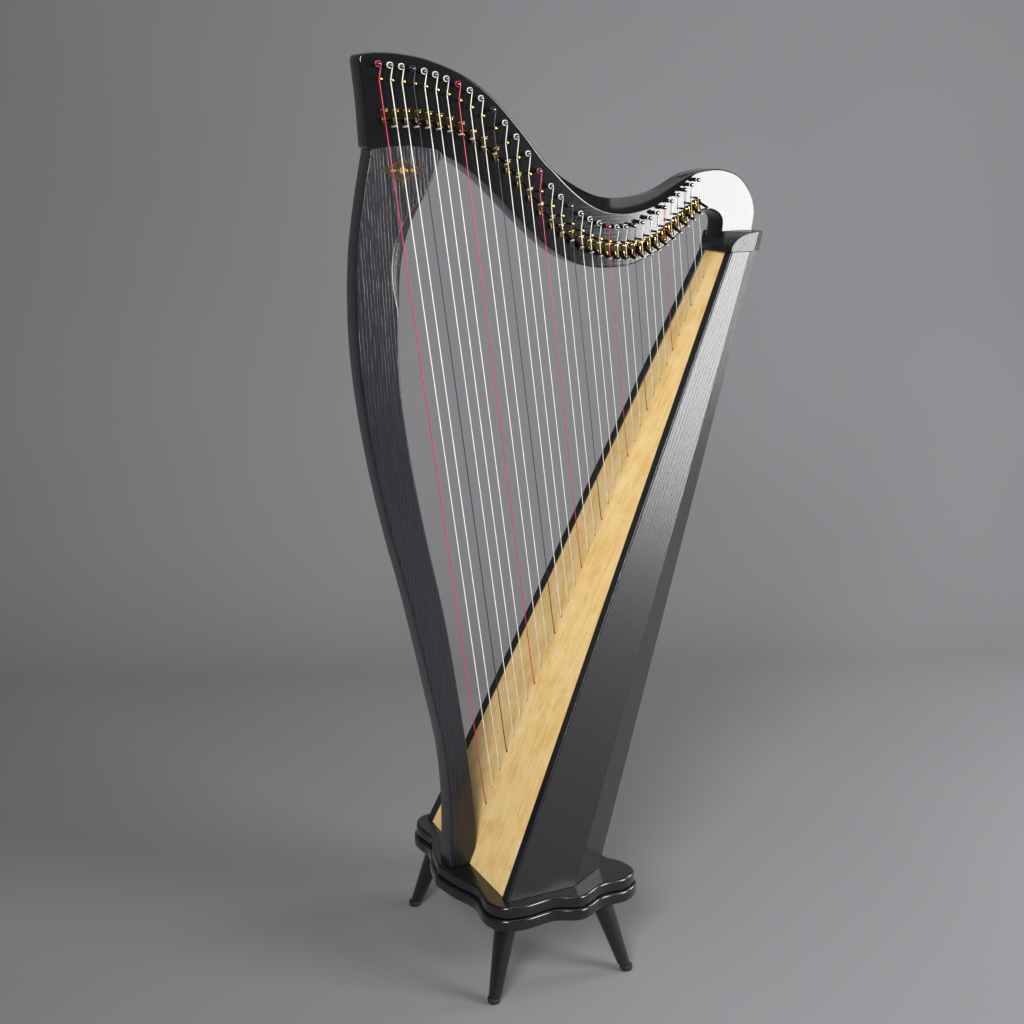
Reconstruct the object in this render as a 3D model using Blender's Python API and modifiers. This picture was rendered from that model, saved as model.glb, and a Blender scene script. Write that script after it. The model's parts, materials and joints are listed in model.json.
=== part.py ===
"""A floor-standing lever harp on a four-legged base, as separate named pieces.

Metres, +Z up. The pillar stands at -X and the soundbox leans back towards +X. The strings run from
the soundboard's centre line to pins on the neck's left face, which looks along -Y, and each string
has its own sharping lever there. Everything is parented to one empty, which is moved along X at the
end so that the origin lies under the middle of the harp's box, on the floor.
"""

import math

import bmesh
import bpy
import numpy as np
from mathutils import Matrix, Vector

GAP = 0.0003

# Base: two stacked boards on four splayed legs
LEG_HEIGHT = 0.125
LEG_TOP_RADIUS = 0.0190
LEG_TIP_RADIUS = 0.0105
LEG_FRONT_X = 0.0355
LEG_WHEELBASE = 0.167
LEG_HALF_TRACK = 0.144
LEG_LEAN_X = 0.0355
LEG_LEAN_Y = 0.0290
GLIDE_HEIGHT = 0.010
GLIDE_EDGE = 0.003
UPPER_BOARD = 0.020
LOWER_BOARD = 0.020
BOARD_ROUND = 0.006
LOWER_BOARD_OVERHANG = 0.004
BOLT_RADIUS = 0.004
BOLT_HEAD_RADIUS = 0.0075
BOLT_HEAD_HEIGHT = 0.005
BOLT_BITE = 0.050
BOLT_CLEARANCE = 0.0004

# Half of the base's outline, from the front bulge to the rear one: four lobes joined by ogees
BASE_HALF_OUTLINE = (
    (-0.024, 0.000), (-0.014, 0.048), (0.002, 0.095), (-0.001, 0.155), (0.015, 0.181), (0.045, 0.188),
    (0.100, 0.183), (0.142, 0.197), (0.190, 0.175), (0.236, 0.172), (0.262, 0.150), (0.258, 0.115),
    (0.241, 0.088), (0.252, 0.045), (0.268, 0.000),
)

# Soundbox, measured on level cuts: sides, two angled rear panels and a back
BOX_HEIGHT = 0.986
BOARD_FOOT_X = 0.0271
BOARD_TILT = math.radians(24.5)
BOX_FOOT_HALF = 0.168
BOX_HEAD_HALF = 0.048
SIDE_FOOT_DEPTH = 0.1225
SIDE_HEAD_DEPTH = 0.037
SIDE_TOE_IN = math.radians(2.2)
REAR_FOOT_WIDTH = 0.079
REAR_HEAD_WIDTH = 0.025
REAR_TURN = math.radians(33)
PANEL = 0.008
SOUNDBOARD = 0.004
CROWN = 0.0075
EDGE_STRIP_WIDTH = 0.018
EDGE_STRIP = 0.003
RIB_WIDTH = 0.026
RIB = 0.006
RIB_BEYOND = 0.010
RIB_CLEARANCE = 0.0006
FOOT_BLOCK_HEIGHT = 0.045
HEAD_BLOCK_HEIGHT = 0.028
CAP_HEIGHT = 0.030
CAP_END_RUN = 0.050
CAP_MIDDLE_RUN = 0.006
CAP_MIDDLE_FORWARD = 0.007
CAP_OVERHANG = 0.005
CAP_SIDE_OVERHANG = 0.0015
CAP_REAR_LEAN = 0.19
SOUND_HOLE_HEIGHTS = (0.17, 0.37, 0.56, 0.73)
SOUND_HOLE_WIDTHS = (0.092, 0.078, 0.062, 0.046)
SOUND_HOLE_STRETCH = 1.35

# Frame: pillar and neck are cut from boards of one thickness
FRAME_THICKNESS = 0.044
PILLAR_FOOT_X = -0.0103
PILLAR_FOOT_DEPTH = 0.0445

# The pillar's two edges: share of the height, and distance from the straight line foot to neck
PILLAR_FRONT_BOW = (
    (0.00, 0.0000), (0.09, 0.0111), (0.17, 0.0128), (0.265, 0.0018), (0.405, -0.0183), (0.497, -0.0352),
    (0.59, -0.0480), (0.69, -0.0549), (0.776, -0.0527), (0.868, -0.0396), (0.94, -0.0199), (1.00, 0.0000),
)
PILLAR_INNER_BOW = (
    (0.00, 0.0000), (0.06, 0.0043), (0.16, -0.0033), (0.275, -0.0172), (0.38, -0.0329), (0.50, -0.0572),
    (0.62, -0.0768), (0.734, -0.0848), (0.845, -0.0744), (0.912, -0.0541), (0.97, -0.0182), (1.00, 0.0000),
)
PILLAR_CARVE_FROM = 0.90
PILLAR_CARVE_TO = 1.10
PILLAR_CARVE_WIDTH = 0.019
PILLAR_CARVE_INSET = 0.012

# Neck outline, measured from a corner just behind the soundboard's top edge
NECK_BEHIND_BOARD = 0.0029
NECK_ABOVE_BOARD = 0.0002
NECK_JOINT = (
    (-0.6007, 0.1643), (-0.5792, 0.1681), (-0.5455, 0.1692), (-0.5145, 0.1664), (-0.4958, 0.1620),
    (-0.4894, 0.1549),
)
NECK_HEAD = ((-0.6007, 0.1643), (-0.6047, 0.1673), (-0.6059, 0.1818), (-0.6092, 0.2331), (-0.6153, 0.2885))
NECK_TOP = (
    (-0.6153, 0.2885), (-0.6124, 0.2950), (-0.6019, 0.2975), (-0.5775, 0.2985), (-0.5489, 0.2964),
    (-0.5129, 0.2897),
    (-0.4560, 0.2680), (-0.4095, 0.2374), (-0.3620, 0.1890), (-0.3168, 0.1375), (-0.2742, 0.1095),
    (-0.2278, 0.0905), (-0.1876, 0.0868), (-0.1278, 0.0957), (-0.0705, 0.1210), (-0.0420, 0.1275),
    (-0.0104, 0.1280), (0.0220, 0.1160), (0.0440, 0.0900), (0.0526, 0.0628), (0.0490, 0.0310),
)
NECK_UNDERSIDE = (
    (-0.0118, 0.0303), (-0.0094, 0.0473), (-0.0127, 0.0556), (-0.0210, 0.0624), (-0.0341, 0.0660),
    (-0.0500, 0.0640), (-0.0768, 0.0400), (-0.1168, 0.0085), (-0.1683, -0.0143), (-0.2117, -0.0189),
    (-0.2459, -0.0162), (-0.2789, -0.0062), (-0.3194, 0.0183), (-0.3578, 0.0520), (-0.3954, 0.0885),
    (-0.4324, 0.1217), (-0.4706, 0.1470), (-0.4894, 0.1549),
)
NECK_CARVE_FROM = -0.325
NECK_CARVE_TO = -0.045
NECK_CARVE_DROP = 0.024
NECK_CARVE_INSET = 0.016
CARVE_LEAST = 0.001

# Strings. The eyelets run from FIRST_EYELET above the soundboard's foot to LAST_EYELET below its top,
# and the last gap is EYELET_PITCH_FALL of the first. The pin row is given at every third string
STRING_COUNT = 34
PIN_ROW = (
    (-0.5876, 0.2616), (-0.5358, 0.2554), (-0.4843, 0.2410), (-0.4301, 0.2109), (-0.3732, 0.1510),
    (-0.3158, 0.0785), (-0.2650, 0.0405), (-0.2171, 0.0226), (-0.1726, 0.0204), (-0.1316, 0.0345),
    (-0.0949, 0.0604), (-0.0594, 0.0850),
)
TUNING_RISE = (
    0.0205, 0.0208, 0.0216, 0.0248, 0.0300, 0.0298, 0.0258, 0.0230, 0.0254, 0.0295, 0.0305, 0.0283,
)
TUNING_SHIFT = -0.0035
FIRST_EYELET = 0.100
LAST_EYELET = 0.0464
EYELET_PITCH_FALL = 0.78
STRING_RADIUS_BASS = 0.0008
STRING_RADIUS_TREBLE = 0.00035
STRING_HOLE_CLEARANCE = 0.0005
STRING_OFFSET = 0.011
EYELET_STAND = 0.001
BRIDGE_PIN_RADIUS = 0.0016
BRIDGE_PIN_LENGTH = 0.014
TUNING_PIN_RADIUS = 0.0030
TUNING_PIN_LEFT = 0.020
TUNING_PIN_RIGHT = 0.020
WINDING_OFFSET = 0.0125

# Levers: a bracket screwed to the neck and a handle that turns on a pin between its cheeks
SEMITONE = 1 - 2 ** (-1 / 12)
# Pressing a string also stretches it, so a lever stands a little nearer than a semitone
WOUND_STRINGS = 8
STRETCH_WOUND = 0.86
STRETCH_PLAIN = 0.93
PLATE = 0.0012
PLATE_SUNK = 0.0005
PLATE_MARGIN = 0.00025
PLATE_SPAN = 0.022
PLATE_ABOVE_MOST = 0.015
PLATE_ABOVE_LEAST = 0.0045
BRIDGE_PIN_ROOM = 0.0035
CHEEK = 0.0010
CHEEK_REACH = 0.0030
CHEEK_HEIGHT = 0.0062
CHEEK_LEFT = 0.0024
PIVOT_HEIGHT = 0.0040
PIVOT_PIN_RADIUS = 0.0007
PIVOT_BORE_RADIUS = 0.00105
BARREL_RADIUS = 0.0023
CAM_WIDTH = 0.0036
CAM_TIP = 0.0008

# A lever's handle, at the lowest string and at the highest: it stands out beside its string, on the right
HANDLE_NEAR = (0.0016, 0.0010)
HANDLE_FAR = (0.0088, 0.0058)
HANDLE_REACH = (0.0260, 0.0290)
HANDLE_LEAN = (math.radians(67), math.radians(72))
HANDLE_TURNED = (math.radians(150), math.radians(108))
HANDLE_THICKNESS = 0.0018
PADDLE_LENGTH = 0.0030

# Badge: a plain lozenge on the pillar
BADGE_WIDTH = 0.074
BADGE_HEIGHT = 0.038
BADGE_THICKNESS = 0.0012
BADGE_BEHIND = 0.047
BADGE_DROP = 0.030

PIN_SIDES = 6
LEG_SIDES = 16
CURVE_STEPS = 3


def clear_scene():
    for item in list(bpy.data.objects):
        bpy.data.objects.remove(item, do_unlink=True)


def collection(name, shown):
    made = bpy.data.collections.new(name)
    bpy.context.scene.collection.children.link(made)
    made.hide_render = not shown
    return made


def material(name, colour, roughness, metallic=0.0):
    made = bpy.data.materials.new(name)
    made.use_nodes = True
    shader = made.node_tree.nodes["Principled BSDF"]
    shader.inputs["Base Color"].default_value = (*colour, 1.0)
    shader.inputs["Roughness"].default_value = roughness
    shader.inputs["Metallic"].default_value = metallic
    made.diffuse_color = (*colour, 1.0)
    return made


clear_scene()
PARTS = collection("lever_harp", True)
CUTTERS = collection("lever_harp_cutters", False)
ROOT = bpy.data.objects.new("lever_harp_origin", None)
PARTS.objects.link(ROOT)

BLACK_WOOD = material("black_stained_ash", (0.012, 0.012, 0.014), 0.35)
MAPLE = material("clear_lacquered_maple", (0.72, 0.50, 0.22), 0.40)
INNER_WOOD = material("bare_spruce", (0.60, 0.44, 0.26), 0.65)
BRASS = material("polished_brass", (0.62, 0.42, 0.14), 0.28, 1.0)
DARK_METAL = material("bronzed_brass", (0.10, 0.08, 0.05), 0.35, 1.0)
STRING = material("string_and_pin", (0.70, 0.68, 0.62), 0.40, 0.3)
BLACK_PLASTIC = material("black_nylon", (0.010, 0.010, 0.010), 0.45)
STEEL = material("zinc_plated_steel", (0.55, 0.56, 0.58), 0.35, 1.0)


def add(name, mesh, finish, matrix=None):
    """One named piece under the root."""
    made = bpy.data.objects.new(name, mesh)
    PARTS.objects.link(made)
    made.parent = ROOT
    if not mesh.materials:
        mesh.materials.append(finish)
    if matrix is not None:
        made.matrix_basis = matrix
    return made


def helper(name, mesh):
    """A cutter, or a shape that is joined to a piece: left out of the render."""
    made = bpy.data.objects.new(name, mesh)
    CUTTERS.objects.link(made)
    made.parent = ROOT
    made.hide_render = True
    made.display_type = "WIRE"
    return made


def boolean(target, other, operation):
    step = target.modifiers.new(other.name, "BOOLEAN")
    step.operation = operation
    step.object = other
    step.solver = "MANIFOLD"


def mesh_from(shape, name, smooth=False):
    """Turns a bmesh into a mesh with its faces pointing out."""
    bmesh.ops.remove_doubles(shape, verts=shape.verts, dist=1e-6)
    bmesh.ops.recalc_face_normals(shape, faces=shape.faces)
    made = bpy.data.meshes.new(name)
    shape.to_mesh(made)
    shape.free()
    if smooth:
        made.shade_smooth()
        made.set_sharp_from_angle(angle=math.radians(35))
    return made


def smooth_points(points, steps=CURVE_STEPS):
    """A centripetal Catmull-Rom curve through the points, with its ends mirrored."""
    p = np.array(points, float)
    p = np.vstack([2 * p[0] - p[1], p, 2 * p[-1] - p[-2]])
    out = []
    for a, b, c, d in zip(p[:-3], p[1:-2], p[2:-1], p[3:]):
        knots = np.cumsum([0, *(np.linalg.norm(q - r) ** 0.5 for q, r in ((b, a), (c, b), (d, c)))])
        t = np.linspace(knots[1], knots[2], steps, endpoint=False)[:, None]

        def mix(u, v, i, j):
            return ((knots[j] - t) * u + (t - knots[i]) * v) / (knots[j] - knots[i])

        ab, bc, cd = mix(a, b, 0, 1), mix(b, c, 1, 2), mix(c, d, 2, 3)
        out.append(mix(mix(ab, bc, 0, 2), mix(bc, cd, 1, 3), 1, 2))
    return np.vstack([*out, p[-2:-1]])


def plate_mesh(name, outline, thickness, matrix, offset=0.0):
    """A filled flat outline of the given thickness, as a mesh, made from a 2D curve."""
    curve = bpy.data.curves.new(name, "CURVE")
    curve.dimensions = "2D"
    curve.fill_mode = "BOTH"
    curve.extrude = thickness / 2
    curve.offset = offset
    spline = curve.splines.new("POLY")
    spline.points.add(len(outline) - 1)
    for point, (x, y) in zip(spline.points, outline):
        point.co = (x, y, 0, 1)
    spline.use_cyclic_u = True
    holder = bpy.data.objects.new(name, curve)
    bpy.context.scene.collection.objects.link(holder)
    graph = bpy.context.evaluated_depsgraph_get()
    made = bpy.data.meshes.new_from_object(holder.evaluated_get(graph))
    bpy.data.objects.remove(holder, do_unlink=True)
    bpy.data.curves.remove(curve)
    shape = bmesh.new()
    shape.from_mesh(made)
    bpy.data.meshes.remove(made)
    bmesh.ops.transform(shape, matrix=matrix, verts=shape.verts)
    return mesh_from(shape, name)


def loft(shape, sections, close=True):
    """Joins rings of points, each with the same count, and caps both ends."""
    rings = [[shape.verts.new(tuple(point)) for point in ring] for ring in sections]
    count = len(rings[0])
    for low, high in zip(rings, rings[1:]):
        for i in range(count):
            shape.faces.new((low[i], low[(i + 1) % count], high[(i + 1) % count], high[i]))
    if close:
        shape.faces.new(rings[0][::-1])
        shape.faces.new(rings[-1])


def ring(radius, sides, z, x=0.0, y=0.0):
    """The corners of a level round section."""
    turn = np.arange(sides) * 2 * math.pi / sides
    return [(x + radius * math.cos(a), y + radius * math.sin(a), z) for a in turn]


def prism(shape, matrix, sides, radius, low, high, end_radius=None):
    """A cylinder or cone along the matrix's Z axis, between two heights."""
    bmesh.ops.create_cone(
        shape,
        cap_ends=True,
        segments=sides,
        radius1=radius,
        radius2=radius if end_radius is None else end_radius,
        depth=high - low,
        matrix=matrix @ Matrix.Translation((0, 0, (low + high) / 2)),
    )


def block(shape, matrix, low, high):
    """A box between two corners in the matrix's axes."""
    low, high = Vector(low), Vector(high)
    scale = Matrix.Diagonal((*(high - low), 1))
    bmesh.ops.create_cube(shape, size=1, matrix=matrix @ Matrix.Translation((low + high) / 2) @ scale)


def tube_mesh(paths, name):
    """Round wires along lists of points, as one mesh of separate tubes."""
    shape = bmesh.new()
    for points, radius in paths:
        curve = bpy.data.curves.new(name, "CURVE")
        curve.dimensions = "3D"
        curve.bevel_depth = radius
        curve.bevel_resolution = 0
        curve.use_fill_caps = True
        spline = curve.splines.new("POLY")
        spline.points.add(len(points) - 1)
        for point, place in zip(spline.points, points):
            point.co = (*place, 1)
        holder = bpy.data.objects.new(name, curve)
        bpy.context.scene.collection.objects.link(holder)
        graph = bpy.context.evaluated_depsgraph_get()
        made = bpy.data.meshes.new_from_object(holder.evaluated_get(graph))
        bpy.data.objects.remove(holder, do_unlink=True)
        bpy.data.curves.remove(curve)
        shape.from_mesh(made)
        bpy.data.meshes.remove(made)
    return mesh_from(shape, name)


# Heights above the floor
BASE_UNDER = LEG_HEIGHT
BASE_TOP = LEG_HEIGHT + LOWER_BOARD + GAP + UPPER_BOARD
BOX_TOP = BASE_TOP + BOX_HEIGHT
HALF = FRAME_THICKNESS / 2
LEFT = -HALF

# The neck's own corner: the soundboard's front face at the soundbox's top
NECK_X = BOARD_FOOT_X + BOX_HEIGHT * math.tan(BOARD_TILT) + NECK_BEHIND_BOARD
NECK_Z = BOX_TOP + NECK_ABOVE_BOARD
SIDE_VIEW = Matrix(((1, 0, 0, 0), (0, 0, -1, 0), (0, 1, 0, 0), (0, 0, 0, 1)))


def on_neck(points):
    return np.array(points) + (NECK_X, NECK_Z)


def level_share(z):
    return (z - BASE_TOP) / BOX_HEIGHT


def between(foot, head, z):
    return foot + (head - foot) * level_share(z)


def board_front(z):
    """X of the soundboard's flat front face on a level cut."""
    return BOARD_FOOT_X + (z - BASE_TOP) * math.tan(BOARD_TILT)


def along_level(thickness):
    """The level run through a layer that lies parallel to the leaning soundboard."""
    return thickness / math.cos(BOARD_TILT)


def box_outer(z):
    """The soundbox's outer corners on the right half of a level cut: front, side's rear, back."""
    half = between(BOX_FOOT_HALF, BOX_HEAD_HALF, z)
    depth = between(SIDE_FOOT_DEPTH, SIDE_HEAD_DEPTH, z)
    width = between(REAR_FOOT_WIDTH, REAR_HEAD_WIDTH, z)
    front = Vector((board_front(z) - along_level(EDGE_STRIP), half))
    rear = front + Vector((math.cos(SIDE_TOE_IN), -math.sin(SIDE_TOE_IN))) * depth
    back = rear + Vector((math.cos(REAR_TURN), -math.sin(REAR_TURN))) * width
    return front, rear, back


def inward(a, b, distance):
    """The step square to the run from a to b, towards the soundbox's middle."""
    run = (b - a).normalized()
    return Vector((run.y, -run.x)) * distance


def meet(a, run_a, b, run_b):
    """Where two level lines cross."""
    det = run_a.x * run_b.y - run_a.y * run_b.x
    k = ((b.x - a.x) * run_b.y - (b.y - a.y) * run_b.x) / det
    return a + run_a * k


def box_lines(z, depth):
    """The soundbox's corners on a level cut, moved inward by a depth."""
    front, rear, back = box_outer(z)
    a = front + inward(front, rear, depth)
    b = rear + inward(rear, back, depth)
    corner = meet(a, rear - front, b, back - rear)
    start = meet(a, rear - front, Vector((front.x, 0)), Vector((0, 1)))
    end = meet(b, back - rear, Vector((back.x - depth, 0)), Vector((0, 1)))
    return start, corner, end


def trimmed(a, b, low, high):
    """The run from a to b, shortened at each end."""
    run = (b - a).normalized()
    return a + run * low, b - run * high


def panel(name, quad, low, high, finish, mirror=False):
    """A straight board of the soundbox between two levels; quad gives its four corners on a cut."""
    shape = bmesh.new()
    side = -1 if mirror else 1
    sections = [[(p.x, side * p.y, z) for p in quad(z)] for z in (low, high)]
    loft(shape, sections)
    return add(name, mesh_from(shape, name), finish)


def side_quad(z):
    outer = box_lines(z, 0)
    inner = box_lines(z, PANEL)
    front = board_front(z) + GAP
    a = Vector((front, outer[0].y - (front - outer[0].x) * math.tan(SIDE_TOE_IN)))
    d = Vector((front, inner[0].y - (front - inner[0].x) * math.tan(SIDE_TOE_IN)))
    b = trimmed(a, outer[1], 0, GAP / 2)[1]
    c = trimmed(d, inner[1], 0, GAP / 2)[1]
    return a, b, c, d


def rear_quad(z):
    outer = box_lines(z, 0)
    inner = box_lines(z, PANEL)
    a, b = trimmed(outer[1], outer[2], GAP / 2, 0)
    d, c = trimmed(inner[1], inner[2], GAP / 2, 0)
    return a, b, c, d


def back_half(z):
    """Y of the back's edge: it lies between the angled panels' inner corners."""
    return box_lines(z, PANEL)[2].y - GAP


def back_quad(z):
    x = box_outer(z)[2].x
    half = back_half(z)
    return Vector((x - PANEL, half)), Vector((x, half)), Vector((x, -half)), Vector((x - PANEL, -half))


def crown(z, y, half):
    """How far the soundboard swells forward: two slopes that meet in a ridge under the strings."""
    share = min(1.0, abs(y) / half)
    return CROWN * math.sin(math.pi * (level_share(z) + 0.15) / 1.3) * (1 - share)


def board_half(z):
    """Half of the soundboard's width, which fits between the sides."""
    return side_quad(z)[3].y - GAP


def strip_inner(z):
    return box_outer(z)[0].y - EDGE_STRIP_WIDTH


def build_base():
    half = smooth_points(BASE_HALF_OUTLINE, 2)
    outline = np.vstack([half, (half * (1, -1))[-2:0:-1]])
    for name, thickness, low, extra in (
        ("base_lower_board", LOWER_BOARD, BASE_UNDER, LOWER_BOARD_OVERHANG),
        ("base_upper_board", UPPER_BOARD, BASE_UNDER + LOWER_BOARD + GAP, 0.0),
    ):
        middle = Matrix.Translation((0, 0, low + thickness / 2))
        board = add(name, plate_mesh(name, outline, thickness, middle, extra), BLACK_WOOD)
        rounding = board.modifiers.new("rounded_edge", "BEVEL")
        rounding.width = BOARD_ROUND
        rounding.segments = 2
        rounding.limit_method = "ANGLE"
        rounding.angle_limit = math.radians(60)


def leg_mesh():
    """One leg: level rings that shrink and shift from the base down to the glide."""
    shape = bmesh.new()
    low, high = GLIDE_HEIGHT + GAP, BASE_UNDER - GAP
    rings = []
    for share in (0.0, 0.5, 1.0):
        z = low + (high - low) * share
        radius = LEG_TIP_RADIUS + (LEG_TOP_RADIUS - LEG_TIP_RADIUS) * share
        lean = 1 - z / BASE_UNDER
        rings.append(ring(radius, LEG_SIDES, z, -LEG_LEAN_X * lean, LEG_LEAN_Y * lean))
    loft(shape, rings)
    return mesh_from(shape, "leg", smooth=True)


def glide_mesh():
    """A turned pad under a leg's tip, with a rounded lower edge."""
    shape = bmesh.new()
    rings = []
    for radius, z in (
        (LEG_TIP_RADIUS - GLIDE_EDGE, 0.0),
        (LEG_TIP_RADIUS - GLIDE_EDGE * 0.3, GLIDE_EDGE * 0.3),
        (LEG_TIP_RADIUS, GLIDE_EDGE),
        (LEG_TIP_RADIUS, GLIDE_HEIGHT),
    ):
        rings.append(ring(radius, LEG_SIDES, z))
    loft(shape, rings)
    return mesh_from(shape, "glide", smooth=True)


def build_legs():
    leg, glide = leg_mesh(), glide_mesh()
    for end, x, flip_x in (("front", LEG_FRONT_X, 1), ("rear", LEG_FRONT_X + LEG_WHEELBASE, -1)):
        for side, flip_y in (("right", 1), ("left", -1)):
            turn = Matrix.Diagonal((flip_x, flip_y, 1, 1))
            place = Matrix.Translation((x, flip_y * LEG_HALF_TRACK, 0)) @ turn
            mesh = leg.copy()
            mesh.transform(turn)
            if flip_x * flip_y < 0:
                mesh.flip_normals()
            add(f"leg_{end}_{side}", mesh, BLACK_WOOD, Matrix.Translation(place.translation))
            tip = place @ Vector((-LEG_LEAN_X, LEG_LEAN_Y, 0))
            add(f"leg_glide_{end}_{side}", glide.copy(), BLACK_PLASTIC, Matrix.Translation(tip))
    bpy.data.meshes.remove(leg)
    bpy.data.meshes.remove(glide)


def build_soundbox():
    low, high = BASE_TOP + GAP, BOX_TOP - GAP
    for side, mirror in (("right", False), ("left", True)):
        panel(f"soundbox_side_{side}", side_quad, low, high, BLACK_WOOD, mirror)
        panel(f"soundbox_rear_panel_{side}", rear_quad, low, high, BLACK_WOOD, mirror)
        panel(f"edge_strip_{side}", strip_quad, low, high, BLACK_WOOD, mirror)
    back = panel("soundbox_back", back_quad, low, high, BLACK_WOOD)
    boolean(back, helper("sound_holes", sound_hole_mesh()), "DIFFERENCE")
    add("soundboard", soundboard_mesh(low, high), MAPLE)
    for name, bottom, top in (
        ("soundbox_foot_block", low, low + FOOT_BLOCK_HEIGHT),
        ("soundbox_head_block", high - HEAD_BLOCK_HEIGHT, high),
    ):
        add(name, inner_block_mesh(name, bottom, top), INNER_WOOD)
    add("shoulder_cap", cap_mesh(), BLACK_WOOD)


def strip_quad(z):
    front = board_front(z)
    outer = box_outer(z)[0]
    inner = outer.y - EDGE_STRIP_WIDTH
    x = front - GAP
    return Vector((outer.x, outer.y)), Vector((x, outer.y)), Vector((x, inner)), Vector((outer.x, inner))


def soundboard_mesh(low, high):
    """Level cuts of the board: a ridged front and the same ridge behind it."""
    shape = bmesh.new()
    sections = []
    for z in np.linspace(low, high, 7).tolist():
        flat, edge = strip_inner(z), board_half(z)
        across = [edge, flat, flat / 2, 0.0, -flat / 2, -flat, -edge]
        rise = [0.0, *(along_level(crown(z, y, flat)) for y in across[1:-1]), 0.0]
        front = [(board_front(z) - r, y, z) for y, r in zip(across, rise)]
        rear = [(board_front(z) + along_level(SOUNDBOARD) - r, y, z) for y, r in zip(across, rise)]
        sections.append(front + rear[::-1])
    loft(shape, sections)
    return mesh_from(shape, "soundboard")


def behind_board(z):
    """X of the level line that everything inside the soundbox starts from."""
    return board_front(z) + along_level(SOUNDBOARD) + GAP


def inner_block_mesh(name, low, high):
    shape = bmesh.new()
    sections = []
    for z in (low, high):
        corner, end = box_lines(z, PANEL + GAP)[1:]
        front = behind_board(z)
        start = Vector((front, side_quad(z)[3].y - GAP))
        back = Vector((box_outer(z)[2].x - PANEL - GAP, min(end.y, back_half(z))))
        half = [start, corner, back]
        sections.append([(p.x, p.y, z) for p in half] + [(p.x, -p.y, z) for p in half[::-1]])
    loft(shape, sections)
    return mesh_from(shape, name)


def sound_hole_mesh():
    """Upright oval cutters through the back, smaller towards the top."""
    shape = bmesh.new()
    for share, width in zip(SOUND_HOLE_HEIGHTS, SOUND_HOLE_WIDTHS):
        z = BASE_TOP + BOX_HEIGHT * share
        x = box_outer(z)[2].x - PANEL / 2
        place = Matrix.Translation((x, 0, z)) @ Matrix.Rotation(math.pi / 2, 4, "Y")
        size = Matrix.Diagonal((SOUND_HOLE_STRETCH, 1, 1, 1))
        prism(shape, place @ size, 16, width / 2, -PANEL * 4, PANEL * 4)
    return mesh_from(shape, "sound_holes")


def cap_profile(y, rear):
    """The cap's side view at one width: front rounding, level top and leaning rear."""
    at_end = abs(y) > box_outer(BOX_TOP)[2].y
    forward, run = (0, CAP_END_RUN) if at_end else (CAP_MIDDLE_FORWARD, CAP_MIDDLE_RUN)
    turn = np.radians(np.linspace(0, 90, 6))
    front = box_outer(BOX_TOP)[0].x - forward
    rounded = np.column_stack([front + run * (1 - np.cos(turn)), BOX_TOP + GAP + CAP_HEIGHT * np.sin(turn)])
    bottom = (rear + CAP_OVERHANG, rounded[0, 1])
    top = (max(bottom[0] + CAP_HEIGHT * CAP_REAR_LEAN, rounded[-1, 0] + GAP), rounded[-1, 1])
    return rounded, top, bottom


def cap_mesh():
    """Cuts across the harp: the ends are rounded much more than the middle, where the neck sits."""
    front, side, back = box_outer(BOX_TOP)
    wide, narrow = front.y + CAP_SIDE_OVERHANG, back.y
    sections = []
    for y, rear in ((-wide, side.x), (-narrow, back.x), (narrow, back.x), (wide, side.x)):
        rounded, top, bottom = cap_profile(y, rear)
        sections.append([(x, y, z) for x, z in (*rounded, top, bottom)])
    shape = bmesh.new()
    loft(shape, sections)
    return mesh_from(shape, "shoulder_cap")


def neck_outline():
    """The whole neck, corner by corner, with its nose shaped to the cap that it sits on."""
    rounded, rear, _ = cap_profile(0, box_outer(BOX_TOP)[2].x)
    seat = np.vstack([rounded, rear]) + (0, GAP)
    underside = on_neck(NECK_UNDERSIDE)
    top = on_neck(NECK_TOP)
    level = seat[-1][1]
    top[-1, 1] = level
    underside[0, 1] = float(np.interp(underside[0, 0], seat[:, 0], seat[:, 1]))
    nose = np.array([point for point in seat[:-1] if point[0] > underside[0, 0] + GAP])[::-1]
    head = smooth_points(on_neck(NECK_HEAD))
    joint = smooth_points(on_neck(NECK_JOINT))[::-1]
    return np.vstack([head[:-1], smooth_points(top), nose, smooth_points(underside)[:-1], joint[:-1]])


def bump(share):
    return max(0.0, math.sin(math.pi * share)) ** 1.3


def arris_cutter(name, stations):
    """Wedges that carve both long corners of a board away.

    A station is (point on the outline, direction into the board, width across the face, inset
    through the thickness). Each wedge runs past the board, so its ends cut nothing.
    """
    shape = bmesh.new()
    past = 0.35
    for side in (-1, 1):
        rings = []
        for (x, z), (in_x, in_z), width, inset in stations:
            width, inset = max(width, CARVE_LEAST), max(inset, CARVE_LEAST)
            low = (width * (1 + past), HALF + inset * past)
            high = (-width * past, HALF - inset * (1 + past))
            out = (-width * past - 0.002, HALF + inset * past + 0.002)
            ring = [(x + in_x * d, side * y, z + in_z * d) for d, y in (low, high, out)]
            rings.append(ring)
        loft(shape, rings)
    return helper(name, mesh_from(shape, name))


def neck_carving():
    top = smooth_points(on_neck(NECK_TOP))
    stations = []
    for share in np.linspace(0.02, 0.98, 13):
        x = NECK_X + NECK_CARVE_FROM + (NECK_CARVE_TO - NECK_CARVE_FROM) * share
        z = float(np.interp(x, top[8:-20, 0], top[8:-20, 1]))
        stations.append(((x, z), (0, -1), NECK_CARVE_DROP * bump(share), NECK_CARVE_INSET * bump(share)))
    return arris_cutter("neck_carving", stations)


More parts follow.
